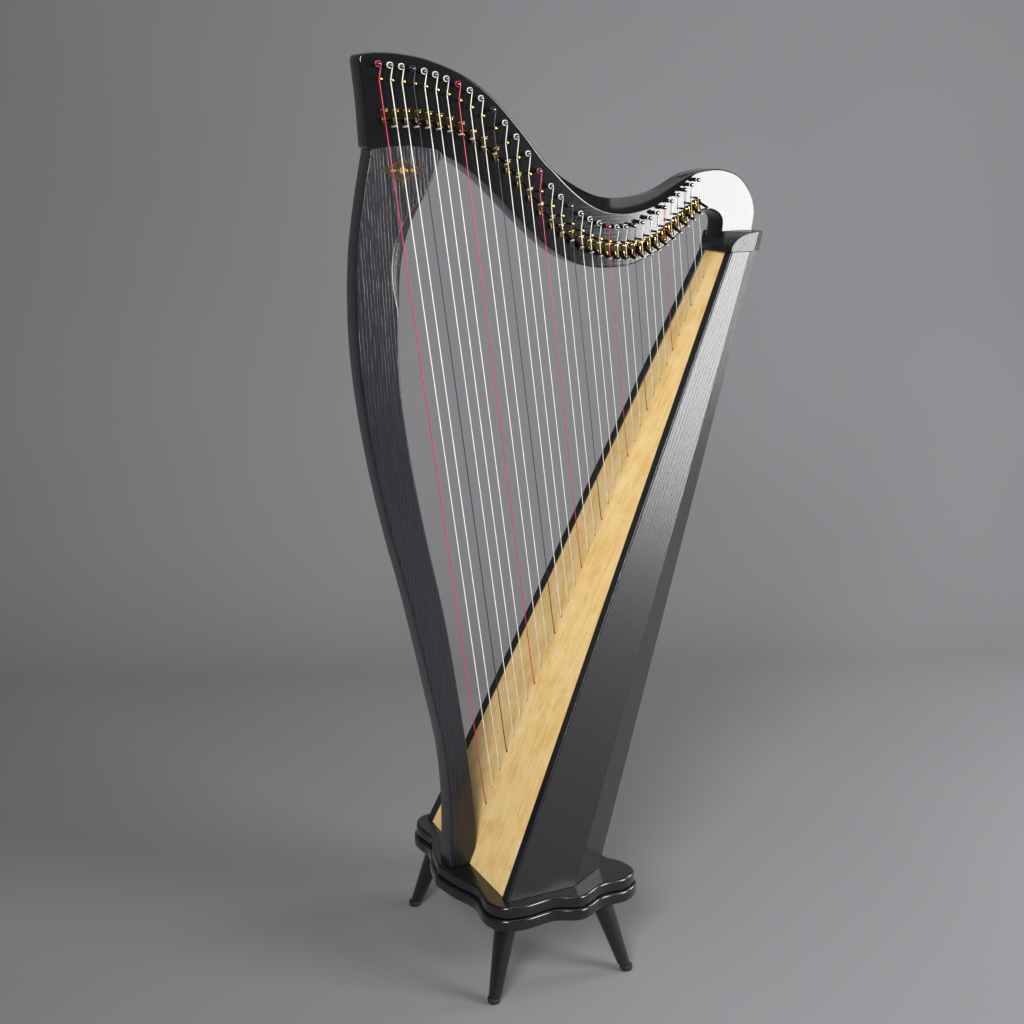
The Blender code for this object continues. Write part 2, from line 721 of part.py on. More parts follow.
def pillar_edges():
    """The pillar's front and inner edges, from foot to neck, as smooth lines."""
    joint = on_neck(NECK_JOINT)
    lines = []
    for bow, foot_x, (top_x, top_z) in (
        (PILLAR_FRONT_BOW, PILLAR_FOOT_X, joint[0]),
        (PILLAR_INNER_BOW, PILLAR_FOOT_X + PILLAR_FOOT_DEPTH, joint[-1]),
    ):
        low = BASE_TOP + GAP
        points = [(foot_x + (top_x - foot_x) * t + off, low + (top_z - low) * t) for t, off in bow]
        lines.append(smooth_points(points))
    return lines


def clear_of_board(inner):
    """Cuts the pillar's inner edge back to the soundboard's front near the foot."""
    limit = np.array([board_front(z) - along_level(crown(z, 0, 1) + GAP) for z in inner[:, 1]])
    first = int(np.argmax(inner[:, 0] < limit))
    a, b = inner[first - 1], inner[first]
    over, under = a[0] - limit[first - 1], limit[first] - b[0]
    cross = a + (b - a) * over / (over + under)
    return np.vstack([(limit[0], inner[0, 1]), cross, inner[first:]])


def pillar_carving(inner):
    stations = []
    for share in np.linspace(0.02, 0.98, 9):
        z = BASE_TOP + PILLAR_CARVE_FROM + (PILLAR_CARVE_TO - PILLAR_CARVE_FROM) * share
        x = float(np.interp(z, inner[:, 1], inner[:, 0]))
        width, inset = PILLAR_CARVE_WIDTH * bump(share), PILLAR_CARVE_INSET * bump(share)
        stations.append(((x, z), (-1, 0), width, inset))
    return arris_cutter("pillar_carving", stations)


def build_frame():
    front, inner = pillar_edges()
    joint = smooth_points(on_neck(NECK_JOINT)) - (0, GAP)
    front[-1], inner[-1] = joint[0], joint[-1]
    inner = clear_of_board(inner)
    outline = np.vstack([front[:-1], joint, inner[-2::-1]])
    pillar = add("pillar", plate_mesh("pillar", outline, FRAME_THICKNESS, SIDE_VIEW), BLACK_WOOD)
    boolean(pillar, pillar_carving(inner), "DIFFERENCE")
    neck = add("neck", plate_mesh("neck", neck_outline(), FRAME_THICKNESS, SIDE_VIEW), BLACK_WOOD)
    return pillar, neck


def build_bolt(pillar):
    """A bolt from under the base, through both boards, into the pillar's foot."""
    x = PILLAR_FOOT_X + PILLAR_FOOT_DEPTH / 2
    top = BASE_TOP + BOLT_BITE
    place = Matrix.Translation((x, 0, 0))
    shape = bmesh.new()
    sides = 12
    rings = []
    for radius, z in (
        (BOLT_HEAD_RADIUS, BASE_UNDER - GAP - BOLT_HEAD_HEIGHT),
        (BOLT_HEAD_RADIUS, BASE_UNDER - GAP),
        (BOLT_RADIUS, BASE_UNDER - GAP),
        (BOLT_RADIUS, top),
    ):
        rings.append(ring(radius, sides, z))
    loft(shape, rings)
    add("pillar_bolt", mesh_from(shape, "pillar_bolt"), STEEL, place)
    hole = bmesh.new()
    prism(hole, place, sides, BOLT_RADIUS + BOLT_CLEARANCE, BASE_UNDER - 0.01, top + GAP)
    cutter = helper("bolt_hole", mesh_from(hole, "bolt_hole"))
    for piece in (pillar, bpy.data.objects["base_lower_board"], bpy.data.objects["base_upper_board"]):
        boolean(piece, cutter, "DIFFERENCE")


class StringPlace:
    """Where one string and its pins and lever lie."""

    def __init__(self, index):
        share = index / (STRING_COUNT - 1)
        self.number = index + 1
        self.radius = STRING_RADIUS_BASS + (STRING_RADIUS_TREBLE - STRING_RADIUS_BASS) * share
        row = BOX_HEIGHT / math.cos(BOARD_TILT) - FIRST_EYELET - LAST_EYELET
        spread = (2 * share - (1 - EYELET_PITCH_FALL) * share**2) / (1 + EYELET_PITCH_FALL)
        z = BASE_TOP + (FIRST_EYELET + row * spread) * math.cos(BOARD_TILT)
        self.hole = Vector((board_front(z) - along_level(crown(z, 0, 1)), 0, z))
        self.eyelet = self.hole - INTO_BOARD * (self.radius + EYELET_STAND)
        step = share * (len(PIN_ROW) - 1)
        steps = np.arange(len(ROW_CURVE)) / CURVE_STEPS
        pin = [float(np.interp(step, steps, ROW_CURVE[:, k])) for k in range(2)]
        rise = float(np.interp(step, np.arange(len(TUNING_RISE)), TUNING_RISE))
        self.pin = Vector((NECK_X + pin[0], LEFT, NECK_Z + pin[1]))
        self.tuning = self.pin + Vector((TUNING_SHIFT, 0, rise))
        down = (self.eyelet - self.pin).normalized()
        self.across = Vector((-down.z, 0, down.x)).normalized()
        beside = BRIDGE_PIN_RADIUS + self.radius + GAP
        self.contact = self.pin + Vector((0, -STRING_OFFSET, 0)) - self.across * beside
        run = self.eyelet - self.contact
        self.length = run.length
        self.fret = self.contact + run * SEMITONE * (STRETCH_WOUND if index < WOUND_STRINGS else STRETCH_PLAIN)
        self.down = Vector((run.x, 0, run.z)).normalized()
        self.out = Vector((0, -1, 0))
        self.across = self.out.cross(self.down)
        self.pivot = Vector((self.fret.x, LEFT - PIVOT_HEIGHT, self.fret.z))
        drop = (self.fret - self.contact).length
        self.plate_above = min(PLATE_ABOVE_MOST, max(PLATE_ABOVE_LEAST, drop - BRIDGE_PIN_ROOM))
        self.string_height = LEFT - self.fret.y - PIVOT_HEIGHT
        sizes = (HANDLE_NEAR, HANDLE_FAR, HANDLE_REACH, HANDLE_LEAN, HANDLE_TURNED)
        graded = [low + (high - low) * share for low, high in sizes]
        self.handle_near, self.handle_far, self.handle_reach, self.lean, self.turned = graded

    def frame(self):
        """The lever's axes: X down the string, Y across it, Z out from the neck, at the pivot."""
        rows = Matrix((self.down, self.across, self.out)).transposed().to_4x4()
        return Matrix.Translation(self.pivot) @ rows


ROW_CURVE = smooth_points(PIN_ROW)
INTO_BOARD = Vector((math.cos(BOARD_TILT), 0, -math.sin(BOARD_TILT)))


def plate_shape(shape, string):
    """The bracket's base plate, which its two cheeks and the pivot pin between them stand on."""
    left = CHEEK_LEFT + CHEEK + PLATE_MARGIN
    right = string.handle_far + GAP + CHEEK + PLATE_MARGIN
    low = (-string.plate_above, -left, -PIVOT_HEIGHT - PLATE_SUNK)
    high = (PLATE_SPAN - string.plate_above, right, PLATE - PIVOT_HEIGHT)
    block(shape, string.frame(), low, high)


def cheek_shape(shape, string):
    right = string.handle_far + GAP
    low, high = PLATE / 2 - PIVOT_HEIGHT, CHEEK_HEIGHT - PIVOT_HEIGHT
    for a, b in ((-CHEEK_LEFT - CHEEK, -CHEEK_LEFT), (right, right + CHEEK)):
        block(shape, string.frame(), (-CHEEK_REACH, a, low), (CHEEK_REACH, b, high))


def pivot_shape(shape, string):
    ends = (-CHEEK_LEFT - CHEEK / 2, string.handle_far + GAP + CHEEK / 2)
    place = string.frame() @ Matrix.Rotation(-math.pi / 2, 4, "X")
    prism(shape, place, 4, PIVOT_PIN_RADIUS, *ends)


def lever_mesh(string):
    """Barrel, cam, handle and paddle in one piece, with a bore for the pivot pin.

    It is built with the handle along X and then tilted out from the neck by its lean at rest. The
    cam lies so that it points straight at the string once the lever has turned.
    """
    name = f"lever_{string.number:02d}"
    across = Matrix.Rotation(-math.pi / 2, 4, "X")
    near, far = string.handle_near, string.handle_far
    barrel = bmesh.new()
    prism(barrel, across, PIN_SIDES, BARREL_RADIUS, GAP - CHEEK_LEFT, far - GAP)
    whole = helper(name + "_barrel", mesh_from(barrel, name))
    cam = bmesh.new()
    reach = string.string_height - string.radius - GAP
    half, thick = CAM_WIDTH / 2, BARREL_RADIUS * 0.9
    section = ((0, -thick), (reach * 0.92, -CAM_TIP), (reach, 0), (reach * 0.92, CAM_TIP), (0, thick))
    loft(cam, [[(u, v, w) for u, w in section] for v in (-half, half)])
    bmesh.ops.transform(cam, matrix=Matrix.Rotation(string.turned - math.pi / 2, 4, "Y"), verts=cam.verts)
    arm = bmesh.new()
    end, flat = string.handle_reach, HANDLE_THICKNESS / 2
    section = ((-thick, 0), (0, -thick), (end, -flat), (end, flat), (0, thick))
    loft(arm, [[(u, v, w) for u, w in section] for v in (near, far)])
    paddle = bmesh.new()
    low = (end - PADDLE_LENGTH, near - GAP, -flat - GAP)
    block(paddle, Matrix.Identity(4), low, (end + GAP, far + GAP, flat + GAP))
    bore = bmesh.new()
    prism(bore, across, PIN_SIDES, PIVOT_BORE_RADIUS, -CHEEK_LEFT - CHEEK, far + CHEEK)
    extras = []
    for label, shape in (("cam", cam), ("arm", arm), ("paddle", paddle), ("bore", bore)):
        extra = helper(f"{name}_{label}", mesh_from(shape, label))
        boolean(whole, extra, "DIFFERENCE" if label == "bore" else "UNION")
        extras.append(extra)
    graph = bpy.context.evaluated_depsgraph_get()
    made = bpy.data.meshes.new_from_object(whole.evaluated_get(graph))
    made.name = name
    made.transform(Matrix.Rotation(-string.lean, 4, "Y"))
    for item in (*extras, whole):
        mesh = item.data
        bpy.data.objects.remove(item, do_unlink=True)
        bpy.data.meshes.remove(mesh)
    return made


def joined(name, strings, maker):
    shape = bmesh.new()
    for string in strings:
        maker(shape, string)
    return helper(name, mesh_from(shape, name))


def bridge_pin_shape(shape, string):
    place = Matrix.Translation(string.pin) @ Matrix.Rotation(math.pi / 2, 4, "X")
    prism(shape, place, PIN_SIDES, BRIDGE_PIN_RADIUS, -PLATE_SUNK, BRIDGE_PIN_LENGTH)


def pin_place(string):
    return Matrix.Translation(string.tuning) @ Matrix.Rotation(math.pi / 2, 4, "X")


def pin_hole_shape(shape, string):
    margin = 0.002
    prism(shape, pin_place(string), PIN_SIDES, TUNING_PIN_RADIUS + GAP, -FRAME_THICKNESS - margin, margin)


def tuning_pin_shape(shape, string):
    end = -FRAME_THICKNESS - TUNING_PIN_RIGHT
    prism(shape, pin_place(string), PIN_SIDES, TUNING_PIN_RADIUS, end, TUNING_PIN_LEFT)


def string_path(string):
    """From inside the rib, out of the soundboard, up past the bridge pin, into the tuning pin."""
    inside = string.hole + INTO_BOARD * (SOUNDBOARD + RIB / 2)
    wound = string.tuning + Vector((TUNING_PIN_RADIUS - string.radius / 2, -WINDING_OFFSET, 0))
    return [inside, string.eyelet, string.contact, wound], string.radius


def string_hole_shape(shape, string):
    place = Matrix.Translation(string.hole) @ Matrix.Rotation(math.pi / 2 + BOARD_TILT, 4, "Y")
    radius = string.radius + STRING_HOLE_CLEARANCE
    prism(shape, place, 4, radius * math.sqrt(2), -SOUNDBOARD, SOUNDBOARD * 2)


def rib_mesh(strings):
    """The inner rib that anchors the strings, following the soundboard's ridge along its middle."""
    low, high = strings[0].hole.z - RIB_BEYOND, strings[-1].hole.z + RIB_BEYOND
    shape = bmesh.new()
    sections = []
    for z in np.linspace(low, high, 9).tolist():
        flat = strip_inner(z)
        half = min(RIB_WIDTH / 2, flat - 0.004)
        edge = along_level(crown(z, half, flat))
        x = board_front(z) + along_level(SOUNDBOARD) - edge + RIB_CLEARANCE
        sections.append([(x, half, z), (x + RIB, half, z), (x + RIB, -half, z), (x, -half, z)])
    loft(shape, sections)
    return mesh_from(shape, "strings")


def build_strings(neck):
    strings = [StringPlace(index) for index in range(STRING_COUNT)]
    soundboard = bpy.data.objects["soundboard"]
    boolean(soundboard, joined("string_holes", strings, string_hole_shape), "DIFFERENCE")
    boolean(neck, joined("tuning_pin_holes", strings, pin_hole_shape), "DIFFERENCE")
    # Neighbouring brackets may touch, so every other one is joined first
    for half, group in (("odd", strings[::2]), ("even", strings[1::2])):
        brackets = joined(f"lever_plates_{half}", group, plate_shape)
        boolean(brackets, joined(f"lever_cheeks_{half}", group, cheek_shape), "UNION")
        boolean(brackets, joined(f"lever_pivots_{half}", group, pivot_shape), "UNION")
        boolean(neck, brackets, "UNION")
    boolean(neck, joined("bridge_pins", strings, bridge_pin_shape), "UNION")
    boolean(neck, neck_carving(), "DIFFERENCE")
    net = add("strings", rib_mesh(strings), STRING)
    wires = tube_mesh([string_path(string) for string in strings], "string_wires")
    boolean(net, helper("string_wires", wires), "UNION")
    boolean(net, joined("tuning_pins", strings, tuning_pin_shape), "UNION")
    for string in strings:
        add(f"lever_{string.number:02d}", lever_mesh(string), DARK_METAL, string.frame())


def build_badge():
    """A plain lozenge with hollow sides, on the pillar's left face under the neck."""
    centre = on_neck(NECK_JOINT)[0] + (BADGE_BEHIND, -BADGE_DROP)
    corners = np.array([(0.5, 0), (0, 0.5), (-0.5, 0), (0, -0.5)]) * (BADGE_WIDTH, BADGE_HEIGHT)
    outline = []
    for a, b in zip(corners, np.roll(corners, -1, axis=0)):
        middle = (a + b) / 2 * 0.86
        outline += [a, (a + middle) / 2, middle, (middle + b) / 2]
    place = Matrix.Translation((centre[0], LEFT - GAP - BADGE_THICKNESS / 2, centre[1])) @ SIDE_VIEW
    add("badge", plate_mesh("badge", outline, BADGE_THICKNESS, place), BRASS)


def centre_origin():
    """Moves the root along X so that the origin lies under the middle of the harp's box."""
    bpy.context.view_layer.update()
    graph = bpy.context.evaluated_depsgraph_get()
    xs = []
    for piece in PARTS.objects:
        if piece.type == "MESH":
            solid = piece.evaluated_get(graph)
            xs += [(solid.matrix_world @ Vector(corner)).x for corner in solid.bound_box]
    ROOT.location.x = -(min(xs) + max(xs)) / 2
    bpy.context.view_layer.update()


build_base()
build_legs()
build_soundbox()
PILLAR, NECK = build_frame()
build_bolt(PILLAR)
build_strings(NECK)
build_badge()
centre_origin()
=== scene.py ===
"""The looks of a floor-standing lever harp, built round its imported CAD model.

Metres, +Z up. The pillar stands at -X and the strings and levers are on the neck's left face, which
looks along -Y. Sizes repeat those of the part's source, measured from the front legs' tips; SHIFT
carries them along X to the frame. Surfaces are worked out with numpy on grids or along paths.
"""

import json
import math

import bmesh
import bpy
import numpy as np
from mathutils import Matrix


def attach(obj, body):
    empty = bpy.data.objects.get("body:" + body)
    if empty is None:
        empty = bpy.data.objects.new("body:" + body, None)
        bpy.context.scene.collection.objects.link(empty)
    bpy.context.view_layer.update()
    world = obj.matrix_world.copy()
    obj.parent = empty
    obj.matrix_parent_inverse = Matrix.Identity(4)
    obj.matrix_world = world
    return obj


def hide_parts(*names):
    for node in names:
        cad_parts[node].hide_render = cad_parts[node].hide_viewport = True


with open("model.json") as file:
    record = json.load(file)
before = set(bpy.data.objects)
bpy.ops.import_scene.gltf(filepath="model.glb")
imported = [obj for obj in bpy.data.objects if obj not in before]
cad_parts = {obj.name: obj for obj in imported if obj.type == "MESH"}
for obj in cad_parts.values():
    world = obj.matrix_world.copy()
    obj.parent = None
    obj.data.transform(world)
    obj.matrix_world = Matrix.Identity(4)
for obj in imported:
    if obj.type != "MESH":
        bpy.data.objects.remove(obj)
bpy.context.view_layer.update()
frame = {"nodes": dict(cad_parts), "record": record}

JOINTS = frame["record"]["behaviour"]["joints"]

# Base and legs
LEG_HEIGHT = 0.125
LEG_TOP_RADIUS = 0.0190
LEG_TIP_RADIUS = 0.0105
LEG_FRONT_X = 0.0355
LEG_WHEELBASE = 0.167
LEG_HALF_TRACK = 0.144
LEG_LEAN_X = 0.0355
LEG_LEAN_Y = 0.0290
GLIDE_HEIGHT = 0.010
BOARD_THICKNESS = 0.020
BOARD_ROUND = 0.0035
LOWER_BOARD_OVERHANG = 0.004
BASE_HALF_OUTLINE = (
    (-0.024, 0.000), (-0.014, 0.048), (0.002, 0.095), (-0.001, 0.155), (0.015, 0.181), (0.045, 0.188),
    (0.100, 0.183), (0.142, 0.197), (0.190, 0.175), (0.236, 0.172), (0.262, 0.150), (0.258, 0.115),
    (0.241, 0.088), (0.252, 0.045), (0.268, 0.000),
)

# Soundbox
GAP = 0.0003
BASE_TOP = LEG_HEIGHT + 2 * BOARD_THICKNESS + GAP
BOX_HEIGHT = 0.986
BOX_TOP = BASE_TOP + BOX_HEIGHT
BOARD_FOOT_X = 0.0271
BOARD_TILT = math.radians(24.5)
BOX_FOOT_HALF = 0.168
BOX_HEAD_HALF = 0.048
SIDE_TOE_IN = math.radians(2.2)
PANEL = 0.008
SOUNDBOARD = 0.004
CROWN = 0.0075
RIDGE_ROUND = 0.004
EDGE_STRIP_WIDTH = 0.018
EDGE_STRIP = 0.003
CAP_HEIGHT = 0.030
CAP_END_RUN = 0.050
CAP_MIDDLE_RUN = 0.006
CAP_MIDDLE_FORWARD = 0.007
CAP_OVERHANG = 0.005
CAP_SIDE_OVERHANG = 0.0015
CAP_REAR_LEAN = 0.19
HEAD_SIDE_DEPTH = 0.037
HEAD_REAR_WIDTH = 0.025
REAR_TURN = math.radians(33)

# Pillar and neck
HALF = 0.022
PILLAR_FOOT_X = -0.0103
PILLAR_FOOT_DEPTH = 0.0445
PILLAR_FRONT_BOW = (
    (0.00, 0.0000), (0.09, 0.0111), (0.17, 0.0128), (0.265, 0.0018), (0.405, -0.0183), (0.497, -0.0352),
    (0.59, -0.0480), (0.69, -0.0549), (0.776, -0.0527), (0.868, -0.0396), (0.94, -0.0199), (1.00, 0.0000),
)
PILLAR_INNER_BOW = (
    (0.00, 0.0000), (0.06, 0.0043), (0.16, -0.0033), (0.275, -0.0172), (0.38, -0.0329), (0.50, -0.0572),
    (0.62, -0.0768), (0.734, -0.0848), (0.845, -0.0744), (0.912, -0.0541), (0.97, -0.0182), (1.00, 0.0000),
)
PILLAR_CARVE = (0.90, 1.10, 0.019, 0.012)
NECK_X = BOARD_FOOT_X + BOX_HEIGHT * math.tan(BOARD_TILT) + 0.0029
NECK_Z = BOX_TOP + 0.0002
NECK_JOINT = (
    (-0.6007, 0.1643), (-0.5792, 0.1681), (-0.5455, 0.1692), (-0.5145, 0.1664), (-0.4958, 0.1620),
    (-0.4894, 0.1549),
)
NECK_HEAD = ((-0.6007, 0.1643), (-0.6047, 0.1673), (-0.6059, 0.1818), (-0.6092, 0.2331), (-0.6153, 0.2885))
NECK_TOP = (
    (-0.6153, 0.2885), (-0.6124, 0.2950), (-0.6019, 0.2975), (-0.5775, 0.2985), (-0.5489, 0.2964),
    (-0.5129, 0.2897), (-0.4560, 0.2680), (-0.4095, 0.2374), (-0.3620, 0.1890), (-0.3168, 0.1375),
    (-0.2742, 0.1095), (-0.2278, 0.0905), (-0.1876, 0.0868), (-0.1278, 0.0957), (-0.0705, 0.1210),
    (-0.0420, 0.1275), (-0.0104, 0.1280), (0.0220, 0.1160), (0.0440, 0.0900), (0.0526, 0.0628),
    (0.0490, 0.0310),
)
NECK_UNDERSIDE = (
    (-0.0118, 0.0303), (-0.0094, 0.0473), (-0.0127, 0.0556), (-0.0210, 0.0624), (-0.0341, 0.0660),
    (-0.0500, 0.0640), (-0.0768, 0.0400), (-0.1168, 0.0085), (-0.1683, -0.0143), (-0.2117, -0.0189),
    (-0.2459, -0.0162), (-0.2789, -0.0062), (-0.3194, 0.0183), (-0.3578, 0.0520), (-0.3954, 0.0885),
    (-0.4324, 0.1217), (-0.4706, 0.1470), (-0.4894, 0.1549),
)
NECK_CARVE = (-0.325, -0.045, 0.024, 0.016)
BADGE_BEHIND = 0.047
BADGE_DROP = 0.030
BADGE_SIZE = (0.074, 0.038)
BADGE_THICKNESS = 0.0012

# Strings and their fittings
COUNT = 34
PIN_ROW = (
    (-0.5876, 0.2616), (-0.5358, 0.2554), (-0.4843, 0.2410), (-0.4301, 0.2109), (-0.3732, 0.1510),
    (-0.3158, 0.0785), (-0.2650, 0.0405), (-0.2171, 0.0226), (-0.1726, 0.0204), (-0.1316, 0.0345),
    (-0.0949, 0.0604), (-0.0594, 0.0850),
)
TUNING_RISE = (
    0.0205, 0.0208, 0.0216, 0.0248, 0.0300, 0.0298, 0.0258, 0.0230, 0.0254, 0.0295, 0.0305, 0.0283,
)
TUNING_SHIFT = -0.0035
FIRST_EYELET = 0.100
LAST_EYELET = 0.0464
EYELET_PITCH_FALL = 0.78
STRING_RADIUS = (0.0008, 0.00035)
STRING_OFFSET = 0.011
BRIDGE_PIN_RADIUS = 0.0016
BRIDGE_PIN_LENGTH = 0.014
HEAD_RADIUS = 0.0023
HEAD_RISE = 0.0016
TUNING_PIN_RADIUS = 0.0030
TUNING_PIN_REACH = 0.020
# Seen in the photograph just past the coil, so shorter than the part's pin
TUNING_PIN_END = 0.0162
WINDING_OFFSET = 0.0125
WINDINGS = 2.4
SEMITONE = 1 - 2 ** (-1 / 12)
WOUND_STRINGS = 8
STRETCH_WOUND = 0.86
STRETCH_PLAIN = 0.93
RED_STRINGS = (1, 8, 15, 22, 29)
BLUE_STRINGS = (4, 11, 18, 25, 32)

# Levers
PLATE = 0.0012
PLATE_SPAN = 0.022
CHEEK = 0.0010
CHEEK_REACH = 0.0030
CHEEK_HEIGHT = 0.0062
CHEEK_LEFT = 0.0024
PIVOT_HEIGHT = 0.0040
BARREL_RADIUS = 0.0023
CAM_WIDTH = 0.0036
HANDLE_NEAR = (0.0016, 0.0010)
HANDLE_FAR = (0.0088, 0.0058)
HANDLE_REACH = (0.0260, 0.0290)
HANDLE_LEAN = (math.radians(67), math.radians(72))
HANDLE_TURNED = (math.radians(150), math.radians(108))
HANDLE_THICKNESS = 0.0018


# --- Finishes


def linear(hex_colour):
    """An sRGB hex colour as linear red, green, blue and 1."""
    srgb = np.array([int(hex_colour[i : i + 2], 16) for i in (1, 3, 5)]) / 255
    low, high = srgb / 12.92, ((srgb + 0.055) / 1.055) ** 2.4
    return (*np.where(srgb <= 0.04045, low, high).tolist(), 1.0)


def add_node(tree, kind, inputs=None, stops=(), **settings):
    """Adds a node, sets its properties, and fills its sockets with values or links.

    stops are the places and hex colours of a colour ramp.
    """
    made = tree.nodes.new("ShaderNode" + kind)
    for key, value in settings.items():
        setattr(made, key, value)
    for key, value in (inputs or {}).items():
        if isinstance(value, bpy.types.NodeSocket):
            tree.links.new(value, made.inputs[key])
        else:
            made.inputs[key].default_value = value
    for _ in stops[2:]:
        made.color_ramp.elements.new(0.5)
    for number, (place, colour) in enumerate(stops):
        made.color_ramp.elements[number].position = place
        made.color_ramp.elements[number].color = linear(colour)
    return made


def finish(name, **sockets):
    """A new material with the shader's own sockets set, as (material, tree, shader, object coordinates)."""
    made = bpy.data.materials.new(name)
    made.use_nodes = True
    tree = made.node_tree
    shader = tree.nodes["Principled BSDF"]
    for key, value in sockets.items():
        shader.inputs[key.replace("_", " ")].default_value = value
    return made, tree, shader, add_node(tree, "TexCoord").outputs["Object"]


def stained_ash(name, turn, gloss, relief, pale):
    """Ash boards stained black under a thin satin lacquer.

    The eye sees long dark lines a few millimetres apart, which wander along the board: there the lacquer
    has sunk into the open pores. Between them it lies smooth and takes the light.
    """
    made, tree, shader, place = finish(name, Coat_Weight=0.55, Coat_Roughness=gloss * 0.7, IOR=1.42)
    board = add_node(tree, "Mapping", {"Vector": place, "Rotation": turn}, vector_type="TEXTURE").outputs[0]
    # Growth rings 5 mm apart, eight times as long as wide in their wandering, as on flat-sawn boards
    long = add_node(tree, "Mapping", {"Vector": board, "Scale": (1.0, 1.0, 0.12)}).outputs[0]
    wander = {"Vector": long, "Scale": 62.0, "Distortion": 9.0, "Detail": 3.0, "Detail Scale": 0.3}
    rings = add_node(tree, "TexWave", wander, bands_direction="X", wave_profile="SAW").outputs["Fac"]
    early = add_node(tree, "MapRange", {"Value": rings, "From Min": 0.5, "From Max": 0.95}).outputs[0]
    # Pores about 1 mm wide and 80 mm long
    fine = add_node(tree, "Mapping", {"Vector": board, "Scale": (1.0, 1.0, 0.012)}).outputs[0]
    pores = add_node(tree, "TexNoise", {"Vector": fine, "Scale": 950.0, "Detail": 2.0}).outputs["Fac"]
    open_pores = add_node(tree, "MapRange", {"Value": pores, "From Min": 0.38, "From Max": 0.60}).outputs[0]
    depth = add_node(tree, "Math", {0: early, 1: open_pores}, operation="MULTIPLY").outputs[0]
    stain = add_node(tree, "ValToRGB", {"Fac": depth}, ((0.0, pale), (0.45, "#0F0F11"), (0.9, "#0A0A0C")))
    tree.links.new(stain.outputs["Color"], shader.inputs["Base Color"])
    dull = {"Value": depth, "To Min": gloss, "To Max": gloss + 0.1 * relief}
    tree.links.new(add_node(tree, "MapRange", dull).outputs[0], shader.inputs["Roughness"])
    level = add_node(tree, "Math", {0: 1.0, 1: depth}, operation="SUBTRACT").outputs[0]
    sunk = add_node(tree, "Bump", {"Height": level, "Strength": 0.5 * relief, "Distance": 0.0005}).outputs[0]
    tree.links.new(sunk, shader.inputs["Normal"])
    tree.links.new(sunk, shader.inputs["Coat Normal"])
    return made


def lacquered_birch(name, turn):
    """Birch plywood under clear lacquer: pale honey, with a faint ripple across a close, straight grain."""
    made, tree, shader, place = finish(name, Roughness=0.42, Coat_Weight=0.25, Coat_Roughness=0.3)
    board = add_node(tree, "Mapping", {"Vector": place, "Rotation": turn}, vector_type="TEXTURE").outputs[0]
    # Lines 4 mm apart and twelve times as long; cloudy patches of 36 mm
    long = add_node(tree, "Mapping", {"Vector": board, "Scale": (1.0, 1.0, 0.08)}).outputs[0]
    lines = add_node(tree, "TexNoise", {"Vector": long, "Scale": 260.0, "Detail": 4.0}).outputs["Fac"]
    cloudy = {"Vector": board, "Scale": 28.0, "Detail": 3.0, "Distortion": 0.6}
    cloud = add_node(tree, "TexNoise", cloudy).outputs["Fac"]
    both = add_node(tree, "Math", {0: lines, 1: cloud}, operation="ADD").outputs[0]
    half = add_node(tree, "Math", {0: both, 1: 0.5}, operation="MULTIPLY").outputs[0]
    honey = ((0.34, "#DDB268"), (0.50, "#EBC887"), (0.66, "#F3D6A0"))
    colour = add_node(tree, "ValToRGB", {"Fac": half}, honey)
    tree.links.new(colour.outputs["Color"], shader.inputs["Base Color"])
    ripple = add_node(tree, "Bump", {"Height": lines, "Strength": 0.12, "Distance": 0.0002}).outputs[0]
    tree.links.new(ripple, shader.inputs["Normal"])
    return made


def bare_spruce(name):
    """Unfinished spruce blocks inside the box: dull, with darker winter rings 2 mm apart."""
    made, tree, shader, place = finish(name, Roughness=0.75)
    winter = {"Vector": place, "Scale": 150.0, "Distortion": 2.0, "Detail": 2.0}
    rings = add_node(tree, "TexWave", winter, bands_direction="X").outputs["Fac"]
    wood = add_node(tree, "ValToRGB", {"Fac": rings}, ((0.0, "#C9AB7C"), (0.75, "#C4A473"), (1.0, "#A07C4E")))
    tree.links.new(wood.outputs["Color"], shader.inputs["Base Color"])
    return made


def turned_metal(name, bright, dull, roughness, spread):
    """Machined metal that has tarnished unevenly: brighter and smoother where fingers rub it."""
    made, tree, shader, place = finish(name, Metallic=1.0)
    # Patches of tarnish about 1 mm across
    tarnish = add_node(tree, "TexNoise", {"Vector": place, "Scale": 900.0, "Detail": 4.0}).outputs["Fac"]
    colour = add_node(tree, "ValToRGB", {"Fac": tarnish}, ((0.35, dull), (0.62, bright)))
    tree.links.new(colour.outputs["Color"], shader.inputs["Base Color"])
    worn = {
        "Value": tarnish, "From Min": 0.3, "From Max": 0.7,
        "To Min": roughness + spread, "To Max": roughness,
    }
    tree.links.new(add_node(tree, "MapRange", worn).outputs[0], shader.inputs["Roughness"])
    pitted = add_node(tree, "Bump", {"Height": tarnish, "Strength": 0.08, "Distance": 0.0001}).outputs[0]
    tree.links.new(pitted, shader.inputs["Normal"])
    return made


def mottled(name, roughness, dark, light, scale, relief=0.0, **sockets):
    """Drawn, moulded or poured material: an even colour with a slight mottle, and a fine relief if any."""
    made, tree, shader, place = finish(name, Roughness=roughness, **sockets)
    tone = add_node(tree, "TexNoise", {"Vector": place, "Scale": scale, "Detail": 2.0}).outputs["Fac"]
    colour = add_node(tree, "ValToRGB", {"Fac": tone}, ((0.33, dark), (0.67, light)))
    tree.links.new(colour.outputs["Color"], shader.inputs["Base Color"])
    rub = {"Value": tone, "To Min": roughness - 0.05, "To Max": roughness + 0.05}
    tree.links.new(add_node(tree, "MapRange", rub).outputs[0], shader.inputs["Roughness"])
    fine = add_node(tree, "Bump", {"Height": tone, "Strength": relief, "Distance": 0.0001}).outputs[0]
    tree.links.new(fine, shader.inputs["Normal"])
    return made


